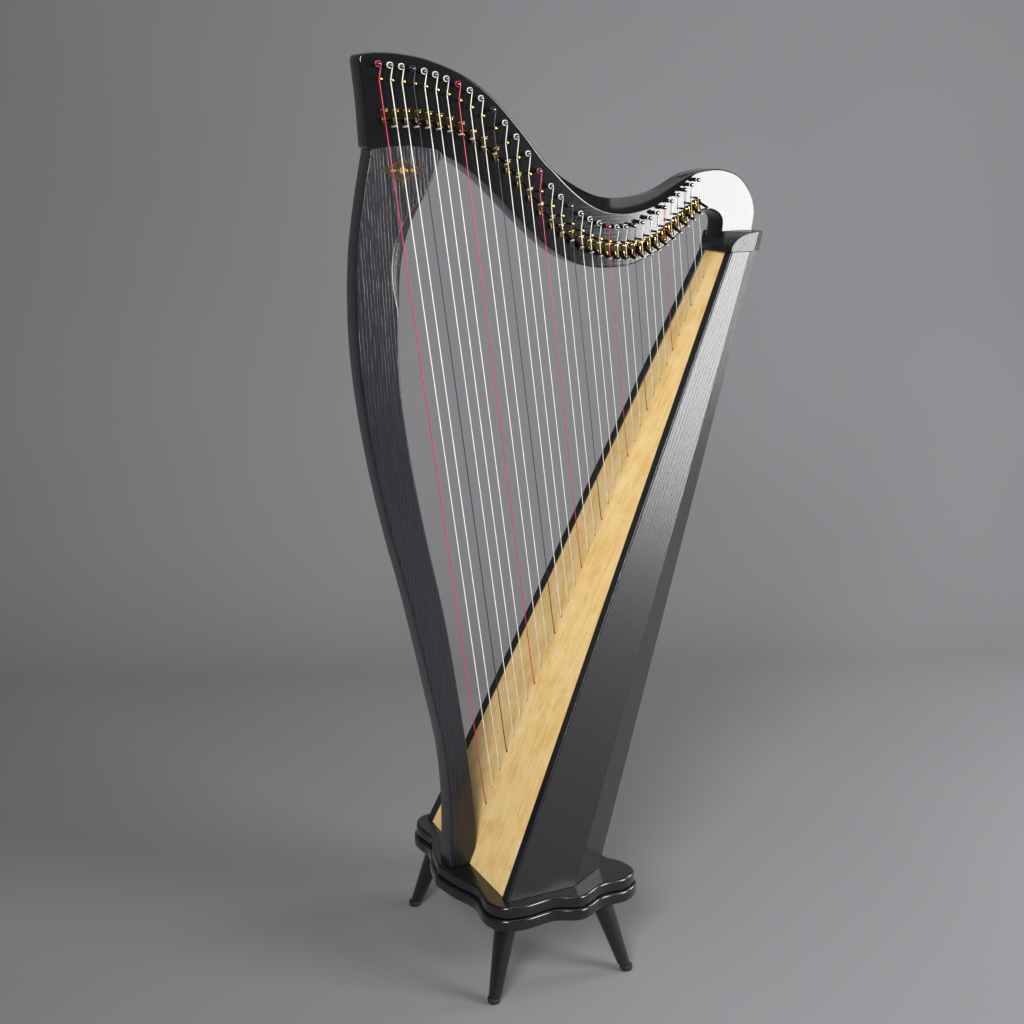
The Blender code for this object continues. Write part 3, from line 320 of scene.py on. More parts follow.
# A board's grain runs along Z once its own direction is turned there
ALONG_X = (0.0, math.pi / 2, 0.0)
ALONG_Y = (math.pi / 2, 0.0, 0.0)
UPRIGHT = (0.0, 0.0, 0.0)
ALONG_PILLAR = (0.0, math.radians(-3), 0.35)
ALONG_BOX = (0.0, BOARD_TILT, 0.0)

PILLAR_ASH = stained_ash("black_stained_ash_pillar", ALONG_PILLAR, 0.26, 0.45, "#1D1D23")
NECK_ASH = stained_ash("black_stained_ash_neck", ALONG_X, 0.12, 0.08, "#111113")
BOX_ASH = stained_ash("black_stained_ash_soundbox", ALONG_BOX, 0.34, 0.6, "#141418")
BASE_ASH = stained_ash("black_stained_ash_base", ALONG_Y, 0.20, 0.2, "#101012")
LEG_ASH = stained_ash("black_stained_ash_legs", UPRIGHT, 0.20, 0.1, "#121214")
BIRCH = lacquered_birch("lacquered_birch_soundboard", ALONG_BOX)
SPRUCE = bare_spruce("bare_spruce_blocks")
BRASS = turned_metal("polished_brass", "#F0CE7E", "#C79A4A", 0.16, 0.14)
AGED_BRASS = turned_metal("aged_brass", "#94794A", "#4A3B22", 0.22, 0.2)
DARK_BRASS = turned_metal("oiled_brass_plate", "#2D2513", "#17120A", 0.28, 0.2)
BRONZED = turned_metal("bronzed_handle", "#3E3A33", "#1F1C18", 0.16, 0.12)
NICKEL = turned_metal("brushed_nickel", "#C2C0BB", "#94928E", 0.32, 0.15)
BLUED_STEEL = turned_metal("blued_steel_pin", "#3B3F4A", "#23252C", 0.2, 0.12)
ZINC = turned_metal("zinc_plated_steel", "#B9BCC0", "#8C9096", 0.3, 0.15)
# Drawn nylon, smooth and slightly waxy, uneven in tone over some 20 mm
NATURAL = mottled("natural_nylon_string", 0.32, "#CFCCC0", "#E2DFD4", 60.0)
RED = mottled("red_nylon_string", 0.32, "#A52544", "#C23354", 60.0)
BLUE = mottled("dark_blue_nylon_string", 0.32, "#171B25", "#222734", 60.0)
# Moulded against a sparked tool, so it is matte with a texture of about 0.5 mm
NYLON = mottled("moulded_black_nylon", 0.5, "#17171A", "#212124", 1800.0, 0.15)
# Poured into the badge under a glassy top, with a soft mottle of 2 mm
GLASSY = {"Coat_Weight": 0.6, "Coat_Roughness": 0.08}
ENAMEL = mottled("dark_brown_enamel", 0.3, "#1C130C", "#33231A", 400.0, 0.02, **GLASSY)
PAPER = mottled("seamless_grey_paper", 0.9, "#737376", "#78787B", 0.8)


# --- Surfaces. A shape is (points, four-sided faces, flat ends)


def grid(points, round_rows=False):
    """A grid of points as a shape: row i, column j of the array is one corner.

    Columns close on themselves; rows do too where round_rows is set, and otherwise the first and the
    last row are closed by a flat face each.
    """
    rows, columns = points.shape[:2]
    index = np.arange(rows * columns).reshape(rows, columns)
    caps = [] if round_rows else [index[0, ::-1], index[-1]]
    if round_rows:
        index = np.vstack([index, index[:1]])
    index = np.hstack([index, index[:, :1]])
    quads = np.stack([index[:-1, :-1], index[:-1, 1:], index[1:, 1:], index[1:, :-1]], -1)
    return points.reshape(-1, 3), quads.reshape(-1, 4), caps


def together(shapes):
    """Several shapes as one."""
    starts = np.cumsum([0] + [len(shape[0]) for shape in shapes[:-1]])
    points = np.vstack([shape[0] for shape in shapes])
    quads = np.vstack([shape[1] + start for shape, start in zip(shapes, starts)])
    return points, quads, [cap + start for shape, start in zip(shapes, starts) for cap in shape[2]]


def placed(shape, axes, origin):
    """A shape in its own coordinates, carried to three axes (rows) at an origin."""
    return shape[0] @ np.asarray(axes) + np.asarray(origin), shape[1], shape[2]


def put(name, shape, material, body="frame", replaces=(), sharp=38):
    """Makes the shape one named piece that rides on a body."""
    points, quads, caps = shape
    mesh = bpy.data.meshes.new(name)
    mesh.from_pydata(points.tolist(), [], quads.tolist() + [cap.tolist() for cap in caps])
    closed = bmesh.new()
    closed.from_mesh(mesh)
    bmesh.ops.remove_doubles(closed, verts=closed.verts, dist=1e-7)
    bmesh.ops.recalc_face_normals(closed, faces=closed.faces)
    closed.to_mesh(mesh)
    closed.free()
    mesh.materials.append(material)
    mesh.shade_smooth()
    mesh.set_sharp_from_angle(angle=math.radians(sharp))
    made = bpy.data.objects.new(name, mesh)
    bpy.context.scene.collection.objects.link(made)
    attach(made, body)
    if replaces:
        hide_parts(*replaces)
    return made


def smooth_points(points, steps=8):
    """A smooth curve through the points, which blends the lines through each span's four nearest.

    The spans' knots stand the square root of their lengths apart, so short spans don't loop.
    """
    p = np.array(points, float)
    p = np.vstack([2 * p[0] - p[1], p, 2 * p[-1] - p[-2]])
    out = []
    for a, b, c, d in zip(p[:-3], p[1:-2], p[2:-1], p[3:]):
        knots = np.cumsum([0, *(np.linalg.norm(q - r) ** 0.5 for q, r in ((b, a), (c, b), (d, c)))])
        t = np.linspace(knots[1], knots[2], steps, endpoint=False)[:, None]

        def mix(u, v, i, j):
            return ((knots[j] - t) * u + (t - knots[i]) * v) / (knots[j] - knots[i])

        ab, bc, cd = mix(a, b, 0, 1), mix(b, c, 1, 2), mix(c, d, 2, 3)
        out.append(mix(mix(ab, bc, 0, 2), mix(bc, cd, 1, 3), 1, 2))
    return np.vstack([*out, p[-2:-1]])


def inward(outline):
    """Unit steps into a closed outline: the tangent's left side, where it runs anticlockwise."""
    run = np.roll(outline, -1, 0) - np.roll(outline, 1, 0)
    side = np.column_stack([-run[:, 1], run[:, 0]]) / np.linalg.norm(run, axis=1)[:, None]
    area = np.sum(outline[:, 0] * np.roll(outline[:, 1], -1) - outline[:, 1] * np.roll(outline[:, 0], -1))
    return side * math.copysign(1.0, area)


def eased_plate(outline, half, face, edge, steps=5, hold=0.0004):
    """A flat board with shaped corners, x and y in the outline's plane and z through the board.

    Each ring is the outline moved in by d(t) at the level half - e(t). With t from 0 to 1 a quarter
    ellipse gives d = face (1 - cos), e = edge (1 - sin), and a straight chamfer d = face t,
    e = edge (1 - t). Small corners take the ellipse, and wide carved ones the chamfer. A last ring,
    a hair further in, keeps the flat face flat.
    """
    count = len(outline)
    face, edge = np.broadcast_to(face, count), np.broadcast_to(edge, count)
    roundness = np.clip(0.003 / np.maximum(face, 1e-6), 0, 1)[None]
    t = np.linspace(0, 1, steps)[:, None]
    drop = roundness * (1 - np.cos(t * math.pi / 2)) + (1 - roundness) * t
    level = roundness * np.sin(t * math.pi / 2) + (1 - roundness) * t
    moved = np.vstack([face * drop, (face + hold)[None]])
    height = np.vstack([half - edge * (1 - level), np.full((1, count), half)])
    flat = outline[None] + inward(outline)[None] * moved[..., None]
    upper = np.concatenate([flat, height[..., None]], -1)
    lower = (upper * (1, 1, -1))[::-1]
    return grid(np.concatenate([lower, upper]))


def bar(low, high, ease=0.0003):
    """A box between two corners with its upper and lower corners rounded."""
    low, high = np.array(low, float), np.array(high, float)
    centre, size = (low + high) / 2, (high - low) / 2
    ease = min(ease, size.min() * 0.8)
    turn = (np.arange(4)[:, None] * math.pi / 2 + np.linspace(0, math.pi / 2, 3)).ravel()
    corner = np.repeat([(1, 1), (-1, 1), (-1, -1), (1, -1)], 3, 0) * (size[:2] - ease)
    outline = corner + ease * np.column_stack([np.cos(turn), np.sin(turn)])
    points, quads, caps = eased_plate(outline, size[2], ease, ease, 3, ease * 0.1)
    return points + centre, quads, caps


def turned(profile, sides=16):
    """A surface of revolution about z: (radius, height) pairs swept round a circle."""
    r, z = np.array(profile, float).T
    a = np.arange(sides) * 2 * math.pi / sides
    level = np.repeat(z[:, None], sides, 1)
    return grid(np.stack([r[:, None] * np.cos(a), r[:, None] * np.sin(a), level], -1))


def tube(path, radius, sides=8):
    """A round section carried along a path: centre + radius (cos a · side + sin a · up).

    The side is the tangent crossed with a direction that no part of the path follows, so the
    section doesn't twist.
    """
    path = np.asarray(path, float)
    run = np.gradient(path, axis=0)
    run /= np.linalg.norm(run, axis=1)[:, None]
    side = np.cross(run, (0.31, 0.94, 0.13))
    side /= np.linalg.norm(side, axis=1)[:, None]
    up = np.cross(side, run)
    a = np.arange(sides)[None, :, None] * 2 * math.pi / sides
    return grid(path[:, None] + radius * (np.cos(a) * side[:, None] + np.sin(a) * up[:, None]))


# --- Places, as in the part's source

INTO_BOARD = np.array((math.cos(BOARD_TILT), 0, -math.sin(BOARD_TILT)))


def board_front(z):
    """The soundboard's flat front, X at a height."""
    return BOARD_FOOT_X + (z - BASE_TOP) * math.tan(BOARD_TILT)


def along_level(thickness):
    """A thickness square to the board, measured along X."""
    return thickness / math.cos(BOARD_TILT)


def half_width(z):
    """Half the soundbox's width in front, at a height."""
    return BOX_FOOT_HALF + (BOX_HEAD_HALF - BOX_FOOT_HALF) * (z - BASE_TOP) / BOX_HEIGHT


def crown(z, share):
    """The soundboard's swell, two slopes that meet in a ridge: CROWN sin(pi (t + 0.15) / 1.3) (1 - share).

    t runs from 0 at the foot to 1 at the head, and share from 0 at the ridge to 1 at the edge strips.
    """
    rise = np.sin(math.pi * ((z - BASE_TOP) / BOX_HEIGHT + 0.15) / 1.3)
    return CROWN * rise * (1 - share)


def on_neck(points):
    """Points (x, z) measured from the neck's own corner."""
    return np.array(points) + (NECK_X, NECK_Z)


def unit(v):
    """Vectors of length 1."""
    return v / np.linalg.norm(v, axis=-1, keepdims=True)


def string_places():
    """Every string's points and its lever's axes, as arrays with one row a string."""
    share = np.arange(COUNT) / (COUNT - 1)
    radius = STRING_RADIUS[0] + (STRING_RADIUS[1] - STRING_RADIUS[0]) * share
    row = BOX_HEIGHT / math.cos(BOARD_TILT) - FIRST_EYELET - LAST_EYELET
    spread = (2 * share - (1 - EYELET_PITCH_FALL) * share**2) / (1 + EYELET_PITCH_FALL)
    z = BASE_TOP + (FIRST_EYELET + row * spread) * math.cos(BOARD_TILT)
    zero = np.zeros(COUNT)
    hole = np.column_stack([board_front(z) - along_level(crown(z, 0.0)), zero, z])
    eyelet = hole - INTO_BOARD * (radius + 0.001)[:, None]
    curve = smooth_points(PIN_ROW, 3)
    step = share * (len(PIN_ROW) - 1)
    at = np.arange(len(curve)) / 3
    pin = np.column_stack([
        NECK_X + np.interp(step, at, curve[:, 0]), zero - HALF, NECK_Z + np.interp(step, at, curve[:, 1])
    ])
    rise = np.interp(step, np.arange(len(TUNING_RISE)), TUNING_RISE)
    tuning = pin + np.column_stack([zero + TUNING_SHIFT, zero, rise])
    down = unit(eyelet - pin)
    aside = unit(np.column_stack([-down[:, 2], zero, down[:, 0]]))
    contact = pin + (0, -STRING_OFFSET, 0) - aside * (BRIDGE_PIN_RADIUS + radius + GAP)[:, None]
    run = eyelet - contact
    stretch = np.where(np.arange(COUNT) < WOUND_STRINGS, STRETCH_WOUND, STRETCH_PLAIN)
    fret = contact + run * (SEMITONE * stretch)[:, None]
    down = unit(run * (1, 0, 1))
    across = np.cross((0, -1, 0), down)
    pivot = fret.copy()
    pivot[:, 1] = -HALF - PIVOT_HEIGHT
    drop = np.linalg.norm(fret - contact, axis=1)
    return {
        "share": share, "radius": radius, "hole": hole, "eyelet": eyelet, "pin": pin, "tuning": tuning,
        "contact": contact, "down": down, "across": across, "pivot": pivot,
        "above": np.clip(drop - 0.0035, 0.0045, 0.015), "height": -HALF - fret[:, 1] - PIVOT_HEIGHT,
    }


STRINGS = string_places()
SHIFT = JOINTS[0]["pos_m"][0] - STRINGS["pivot"][0, 0]
for key in ("hole", "eyelet", "pin", "tuning", "contact", "pivot"):
    STRINGS[key] = STRINGS[key] + (SHIFT, 0, 0)
# A shape drawn in the side view: its x runs along X, its y up, and its z out of the neck's left face
SIDE_VIEW = ((1, 0, 0), (0, 0, 1), (0, -1, 0))
OUT_OF_NECK = SIDE_VIEW
# Within a lever's axes: a shape turned about z is laid along the pivot, across the string
ALONG_PIVOT = ((0, 0, 1), (1, 0, 0), (0, 1, 0))


# --- Camera, light and room

SENSOR = 36.0
PHOTO_PIXELS = 1024
FOCAL_PIXELS = 1560
CAMERA_PLACE = (-0.8922, -2.1881, 1.3664)
CAMERA_DIP = 14.347
CAMERA_TURN = -24.623
PAPER_BACK = 1.3
PAPER_CURVE = 0.9
PAPER_HEIGHT = 7.0
PAPER_SIDES = (-9.0, 12.0)
PAPER_TURN = math.radians(-20)
SKY = 0.09


def area_light(name, place, aim, size, power, spread=180):
    """A soft lamp that faces its aim; spread is the angle in degrees that its light fills."""
    lamp = bpy.data.lights.new(name, "AREA")
    lamp.shape = "RECTANGLE"
    lamp.size, lamp.size_y = size
    lamp.energy = power
    lamp.spread = math.radians(spread)
    made = bpy.data.objects.new(name, lamp)
    bpy.context.scene.collection.objects.link(made)
    made.location = place
    run = np.array(aim, float) - place
    turn = math.atan2(run[1], run[0]) - math.pi / 2
    made.rotation_euler = (math.pi / 2 + math.atan2(run[2], math.hypot(run[0], run[1])), 0, turn)


def build_room():
    """The camera at the photograph's place, a curved paper backdrop, four soft lamps and a dim sky."""
    camera = bpy.data.cameras.new("photo_camera")
    camera.sensor_width = SENSOR
    camera.lens = FOCAL_PIXELS / PHOTO_PIXELS * SENSOR
    camera.clip_end = 40
    holder = bpy.data.objects.new("photo_camera", camera)
    bpy.context.scene.collection.objects.link(holder)
    holder.location = (CAMERA_PLACE[0] + SHIFT, *CAMERA_PLACE[1:])
    holder.rotation_euler = (math.radians(90 - CAMERA_DIP), 0, math.radians(CAMERA_TURN))
    bpy.context.scene.camera = holder

    # The paper: level floor, then a quarter circle, then an upright wall, all turned towards the camera
    turn = np.linspace(0, math.pi / 2, 25)
    ys = np.concatenate([[-9.0], PAPER_BACK + PAPER_CURVE * np.sin(turn), [PAPER_BACK + PAPER_CURVE]])
    zs = np.concatenate([[0.0], PAPER_CURVE * (1 - np.cos(turn)), [PAPER_HEIGHT]])
    x, y = np.meshgrid(PAPER_SIDES, ys)
    flat = np.stack([x, y, np.repeat(zs[:, None], 2, 1)], -1).reshape(-1, 3)
    cos, sin = math.cos(PAPER_TURN), math.sin(PAPER_TURN)
    flat = flat @ np.array(((cos, sin, 0), (-sin, cos, 0), (0, 0, 1)))
    index = np.arange(len(flat)).reshape(-1, 2)
    faces = np.stack([index[:-1, 0], index[:-1, 1], index[1:, 1], index[1:, 0]], -1)
    mesh = bpy.data.meshes.new("paper_backdrop")
    mesh.from_pydata(flat.tolist(), [], faces.tolist())
    mesh.materials.append(PAPER)
    mesh.shade_smooth()
    paper = bpy.data.objects.new("paper_backdrop", mesh)
    bpy.context.scene.collection.objects.link(paper)

    area_light("window_right", (2.47 + SHIFT, -2.40, 1.42), (0.4, 0.0, 0.8), (1.5, 1.9), 150)
    area_light("softbox_left", (-1.7 + SHIFT, -2.5, 2.3), (0.2, 0.0, 0.6), (1.2, 1.2), 43, 100)
    area_light("strip_right", (2.6 + SHIFT, -0.25, 1.05), (0.1, 0.0, 1.0), (0.7, 1.3), 30)
    area_light("ceiling_bounce", (0.6 + SHIFT, -0.2, 3.2), (0.3, 0.3, 0.0), (2.0, 2.0), 18)
    world = bpy.data.worlds.new("dim_studio")
    world.use_nodes = True
    world.node_tree.nodes["Background"].inputs["Color"].default_value = linear("#FFFFFF")
    world.node_tree.nodes["Background"].inputs["Strength"].default_value = SKY
    bpy.context.scene.world = world
    bpy.context.scene.view_settings.view_transform = "Standard"


# --- Frame


def bump(share):
    """A swell that rises from 0 and falls back to it: sin(pi share) ** 1.3."""
    return np.maximum(0.0, np.sin(math.pi * np.clip(share, 0, 1))) ** 1.3


def cap_profile(end):
    """The cap's side view: a quarter ellipse at the front, a level top and a leaning rear."""
    forward, run = (0, CAP_END_RUN) if end else (CAP_MIDDLE_FORWARD, CAP_MIDDLE_RUN)
    front = board_front(BOX_TOP) - along_level(EDGE_STRIP)
    depth = math.cos(SIDE_TOE_IN) * HEAD_SIDE_DEPTH + (0 if end else math.cos(REAR_TURN) * HEAD_REAR_WIDTH)
    rear = front + depth
    turn = np.linspace(0, math.pi / 2, 14)
    x0 = front - forward
    rounded = np.column_stack([x0 + run * (1 - np.cos(turn)), BOX_TOP + GAP + CAP_HEIGHT * np.sin(turn)])
    bottom = (rear + CAP_OVERHANG, rounded[0, 1])
    top = (max(bottom[0] + CAP_HEIGHT * CAP_REAR_LEAN, rounded[-1, 0] + GAP), rounded[-1, 1])
    return rounded, top, bottom


def build_neck():
    """The neck's board: its outline from corner to corner, with eased arrises and a carved upper edge."""
    rounded, rear, _ = cap_profile(False)
    seat = np.vstack([rounded, rear]) + (0, GAP)
    underside, top = on_neck(NECK_UNDERSIDE), on_neck(NECK_TOP)
    top[-1, 1] = seat[-1, 1]
    underside[0, 1] = np.interp(underside[0, 0], seat[:, 0], seat[:, 1])
    nose = seat[:-1][seat[:-1, 0] > underside[0, 0] + GAP][::-1]
    upper = smooth_points(top)
    stretches = (
        (smooth_points(on_neck(NECK_HEAD))[:-1], 0.0026),
        (upper[:-1], 0.0026),
        (np.vstack([upper[-1:], nose]), 0.0006),
        (smooth_points(underside)[:-1], 0.0024),
        (smooth_points(on_neck(NECK_JOINT))[::-1][:-1], 0.0007),
    )
    outline = np.vstack([points for points, _ in stretches])
    ease = np.concatenate([np.full(len(points), size) for points, size in stretches])
    start, end, drop, inset = NECK_CARVE
    share = (outline[:, 0] - NECK_X - start) / (end - start)
    first = len(stretches[0][0])
    on_top = (np.arange(len(outline)) >= first) & (np.arange(len(outline)) < first + len(stretches[1][0]))
    carve = bump(share) * on_top
    face, edge = np.maximum(ease, drop * carve), np.maximum(ease, inset * carve)
    shape = placed(eased_plate(outline, HALF, face, edge, 7), SIDE_VIEW, (SHIFT, 0, 0))
    put("neck_board", shape, NECK_ASH, replaces=["neck"])


def pillar_lines():
    """The front and the inner edge: straight lines from foot to neck with a bow added along X."""
    joint = on_neck(NECK_JOINT)
    lines = []
    low = BASE_TOP + GAP
    for bow, foot_x, (top_x, top_z) in (
        (PILLAR_FRONT_BOW, PILLAR_FOOT_X, joint[0]),
        (PILLAR_INNER_BOW, PILLAR_FOOT_X + PILLAR_FOOT_DEPTH, joint[-1]),
    ):
        share, off = np.array(bow).T
        x, z = foot_x + (top_x - foot_x) * share + off, low + (top_z - low) * share
        lines.append(smooth_points(np.column_stack([x, z])))
    return lines


def build_pillar():
    """The pillar's board: two bowed edges, cut to the soundboard at the foot and to the neck above."""
    front, inner = pillar_lines()
    joint = smooth_points(on_neck(NECK_JOINT)) - (0, GAP)
    front[-1], inner[-1] = joint[0], joint[-1]
    limit = board_front(inner[:, 1]) - along_level(crown(inner[:, 1], 0.0) + GAP)
    inner[:, 0] = np.minimum(inner[:, 0], limit)
    stretches = ((front[:-1], 0.0026), (joint, 0.0007), (inner[-2:0:-1], 0.0026), (inner[:1], 0.0007))
    outline = np.vstack([points for points, _ in stretches])
    ease = np.concatenate([np.full(len(points), size) for points, size in stretches])
    low, high, width, inset = PILLAR_CARVE
    share = (outline[:, 1] - BASE_TOP - low) / (high - low)
    carve = bump(share) * (np.arange(len(outline)) >= len(stretches[0][0]) + len(joint))
    face, edge = np.maximum(ease, width * carve), np.maximum(ease, inset * carve)
    shape = placed(eased_plate(outline, HALF, face, edge, 7), SIDE_VIEW, (SHIFT, 0, 0))
    put("pillar_board", shape, PILLAR_ASH, replaces=["pillar"])


def build_badge():
    """A plain lozenge with hollow sides: a brass rim, a dark enamel field and three brass diamonds."""
    centre = on_neck(NECK_JOINT)[0] + (BADGE_BEHIND + SHIFT, -BADGE_DROP)
    corners = np.array([(0.5, 0), (0, 0.5), (-0.5, 0), (0, -0.5)]) * BADGE_SIZE
    t = np.linspace(0, 1, 12, endpoint=False)[:, None]
    middle = (corners + np.roll(corners, -1, 0)) / 2 * 0.86
    sides = [
        (1 - t) ** 2 * a + 2 * t * (1 - t) * (2 * m - (a + b) / 2) + t**2 * b
        for a, m, b in zip(corners, middle, np.roll(corners, -1, 0))
    ]
    outline = np.vstack(sides)
    back = -HALF - GAP
    at = (centre[0], back, centre[1])

    def layer(scale, low, high, ease=0.0002):
        points, quads, caps = eased_plate(outline * scale, (high - low) / 2, ease, ease, 3, 0.0001)
        return placed((points + (0, 0, (low + high) / 2), quads, caps), OUT_OF_NECK, at)

    def ridge(scale, thick):
        """A thin raised line: the outline twice, scaled by scale and by scale - thick, at two levels."""
        a, b = outline * scale, outline * (scale - thick)
        rings = [np.column_stack([p, np.full(len(p), z)]) for p, z in (
            (a, 0.0006), (a, BADGE_THICKNESS), (b, BADGE_THICKNESS), (b, 0.0006)
        )]
        return placed(grid(np.array(rings), round_rows=True), OUT_OF_NECK, at)

    rim = together([layer(1.0, 0, 0.0007), ridge(1.0, 0.07), ridge(0.86, 0.04)])
    put("badge_rim", rim, AGED_BRASS, replaces=["badge"])
    put("badge_field", layer(0.92, 0.0005, 0.0009, 0.0001), ENAMEL)
    small = np.array([(1, 0), (0, 1), (-1, 0), (0, -1)], float)
    gems = []
    for x, size in ((-0.015, 0.0032), (0.0, 0.0055), (0.015, 0.0032)):
        points, quads, caps = eased_plate(small * (size * 1.6, size), 0.0003, 0.0003, 0.0003, 3, 0.0001)
        gems.append(placed((points + (x, 0, 0.0009), quads, caps), OUT_OF_NECK, at))
    put("badge_diamonds", together(gems), BRASS)


# --- Base


def base_outline():
    """The waved outline: a smooth curve through the right half's points, and its mirror image."""
    half = smooth_points(BASE_HALF_OUTLINE, 8)
    return np.vstack([half, (half * (1, -1))[-2:0:-1]]) + (SHIFT, 0)


def build_base():
    """Two waved boards: the outline, with corners rounded by BOARD_ROUND above and below."""
    outline = base_outline()
    for low, extra, name in (
        (LEG_HEIGHT, LOWER_BOARD_OVERHANG, "base_lower_board"),
        (LEG_HEIGHT + BOARD_THICKNESS + GAP, 0.0, "base_upper_board"),
    ):
        wide = outline - inward(outline) * extra
        points, quads, caps = eased_plate(wide, BOARD_THICKNESS / 2, BOARD_ROUND, BOARD_ROUND, 9)
        points = points + (0, 0, low + BOARD_THICKNESS / 2)
        put(name + "_shaped", (points, quads, caps), BASE_ASH, replaces=[name])


def build_legs():
    """Tapered legs: round level sections that shrink and shift on the way down, with eased ends."""
    turn = np.arange(40) * 2 * math.pi / 40
    low, high = GLIDE_HEIGHT + GAP, LEG_HEIGHT - GAP
    share = np.concatenate([[0.0, 0.004, 0.015], np.linspace(0.04, 0.985, 12), [0.996, 1.0]])
    ease = np.concatenate([[0.9, 0.965, 1.0], np.ones(12), [0.995, 0.985]])
    z = low + (high - low) * share
    radius = (LEG_TIP_RADIUS + (LEG_TOP_RADIUS - LEG_TIP_RADIUS) * share) * ease
    lean = 1 - z / LEG_HEIGHT
    for end, x, flip_x in (("front", LEG_FRONT_X, 1), ("rear", LEG_FRONT_X + LEG_WHEELBASE, -1)):
        for side, flip_y in (("right", 1), ("left", -1)):
            name = f"{end}_{side}"
            cx = x + SHIFT - flip_x * LEG_LEAN_X * lean
            cy = flip_y * (LEG_HALF_TRACK + LEG_LEAN_Y * lean)
            points = np.stack([
                cx[:, None] + radius[:, None] * np.cos(turn), cy[:, None] + radius[:, None] * np.sin(turn),
                np.repeat(z[:, None], len(turn), 1),
            ], -1)
            put(f"turned_leg_{name}", grid(points), LEG_ASH, replaces=[f"leg_{name}"])
            r = LEG_TIP_RADIUS
            pad = turned((
                (r * 0.45, 0.0), (r * 0.7, 0.0002), (r * 0.88, 0.0014), (r * 0.965, 0.0034),
                (r * 0.985, 0.006), (r * 0.98, 0.0088),
                (r * 0.95, GLIDE_HEIGHT - 0.0003), (r * 0.90, GLIDE_HEIGHT),
            ), 40)
            tip = (x + SHIFT - flip_x * LEG_LEAN_X, flip_y * (LEG_HALF_TRACK + LEG_LEAN_Y), 0)
            pad = placed(pad, np.eye(3), tip)
            put(f"glide_{name}", pad, NYLON, replaces=[f"leg_glide_{name}"])


# --- Soundbox


def ease_arrises(made, width, angle):
    """Rounds the edges of a piece that turn by more than the angle in degrees."""
    ease = made.modifiers.new("eased_arris", "BEVEL")
    ease.width = width
    ease.segments = 3
    ease.limit_method = "ANGLE"
    ease.angle_limit = math.radians(angle)
    ease.harden_normals = True


def eased_copy(node, material, width):
    """The CAD board itself, merged and with its arrises rounded."""
    mesh = frame["nodes"][node].data.copy()
    mesh.name = node + "_board"
    work = bmesh.new()
    work.from_mesh(mesh)
    bmesh.ops.remove_doubles(work, verts=work.verts, dist=2e-6)
    bmesh.ops.dissolve_limit(work, angle_limit=math.radians(1), verts=work.verts, edges=work.edges)
    work.to_mesh(mesh)
    work.free()
    mesh.materials.clear()
    mesh.materials.append(material)
    made = bpy.data.objects.new(node + "_board", mesh)
    bpy.context.scene.collection.objects.link(made)
    ease_arrises(made, width, 30)
    mesh.shade_smooth()
    mesh.set_sharp_from_angle(angle=math.radians(35))
    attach(made, "frame")
    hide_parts(node)


def build_soundboard():
    """The ridged soundboard: x = front(z) - crown(z, |y| / flat) on a grid of levels and widths."""
    low, high = BASE_TOP + GAP, BOX_TOP - GAP
    z = np.linspace(low, high, 60)[:, None]
    half = half_width(z)
    tan = math.tan(SIDE_TOE_IN)
    edge = half - PANEL / math.cos(SIDE_TOE_IN) - (along_level(EDGE_STRIP) + GAP) * tan - GAP
    flat = half - EDGE_STRIP_WIDTH
    t = np.linspace(-1, 1, 41)[None]
    y = t * edge
    share = np.minimum(1.0, np.abs(y) / flat)
    # The ridge is rounded off: |y| becomes sqrt(y^2 + RIDGE_ROUND^2)
    soft = np.sqrt(share**2 + (RIDGE_ROUND / flat) ** 2)
    rise = np.where(share < 1, along_level(np.maximum(crown(z, soft), 0)), 0)
    front = np.stack([board_front(z) - rise, y, z + 0 * y], -1)
    rear = front + (along_level(SOUNDBOARD), 0, 0)
    rings = np.concatenate([front, rear[:, ::-1]], 1) + (SHIFT, 0, 0)
    shape = grid(rings)
    put("soundboard_panel", shape, BIRCH, replaces=["soundboard"], sharp=30)


def build_cap():
    """The cap's sections across the harp: well rounded at the ends, upright in the middle."""
    wide = BOX_HEAD_HALF + CAP_SIDE_OVERHANG
    narrow = BOX_HEAD_HALF - math.sin(SIDE_TOE_IN) * HEAD_SIDE_DEPTH - math.sin(REAR_TURN) * HEAD_REAR_WIDTH
    rings = []
    for y, end in ((-wide, True), (-narrow, False), (narrow, False), (wide, True)):
        rounded, top, bottom = cap_profile(end)
        ring = np.vstack([rounded, top, bottom])
        rings.append(np.column_stack([ring[:, 0] + SHIFT, np.full(len(ring), y), ring[:, 1]]))
    shape = grid(np.array(rings))
    made = put("shoulder_cap_shaped", shape, BOX_ASH, replaces=["shoulder_cap"], sharp=30)
    ease_arrises(made, 0.0018, 32)


def build_soundbox():
    """The box: its soundboard and cap drawn anew, its flat boards, blocks and bolt taken from the CAD."""
    build_soundboard()
    build_cap()
    for side in ("left", "right"):
        eased_copy(f"soundbox_side_{side}", BOX_ASH, 0.0006)
        eased_copy(f"soundbox_rear_panel_{side}", BOX_ASH, 0.0006)
        eased_copy(f"edge_strip_{side}", BOX_ASH, 0.0013)
    eased_copy("soundbox_back", BOX_ASH, 0.0008)
    for node in ("soundbox_foot_block", "soundbox_head_block"):
        eased_copy(node, SPRUCE, 0.0008)
    eased_copy("pillar_bolt", ZINC, 0.0003)


# --- Strings and their pins


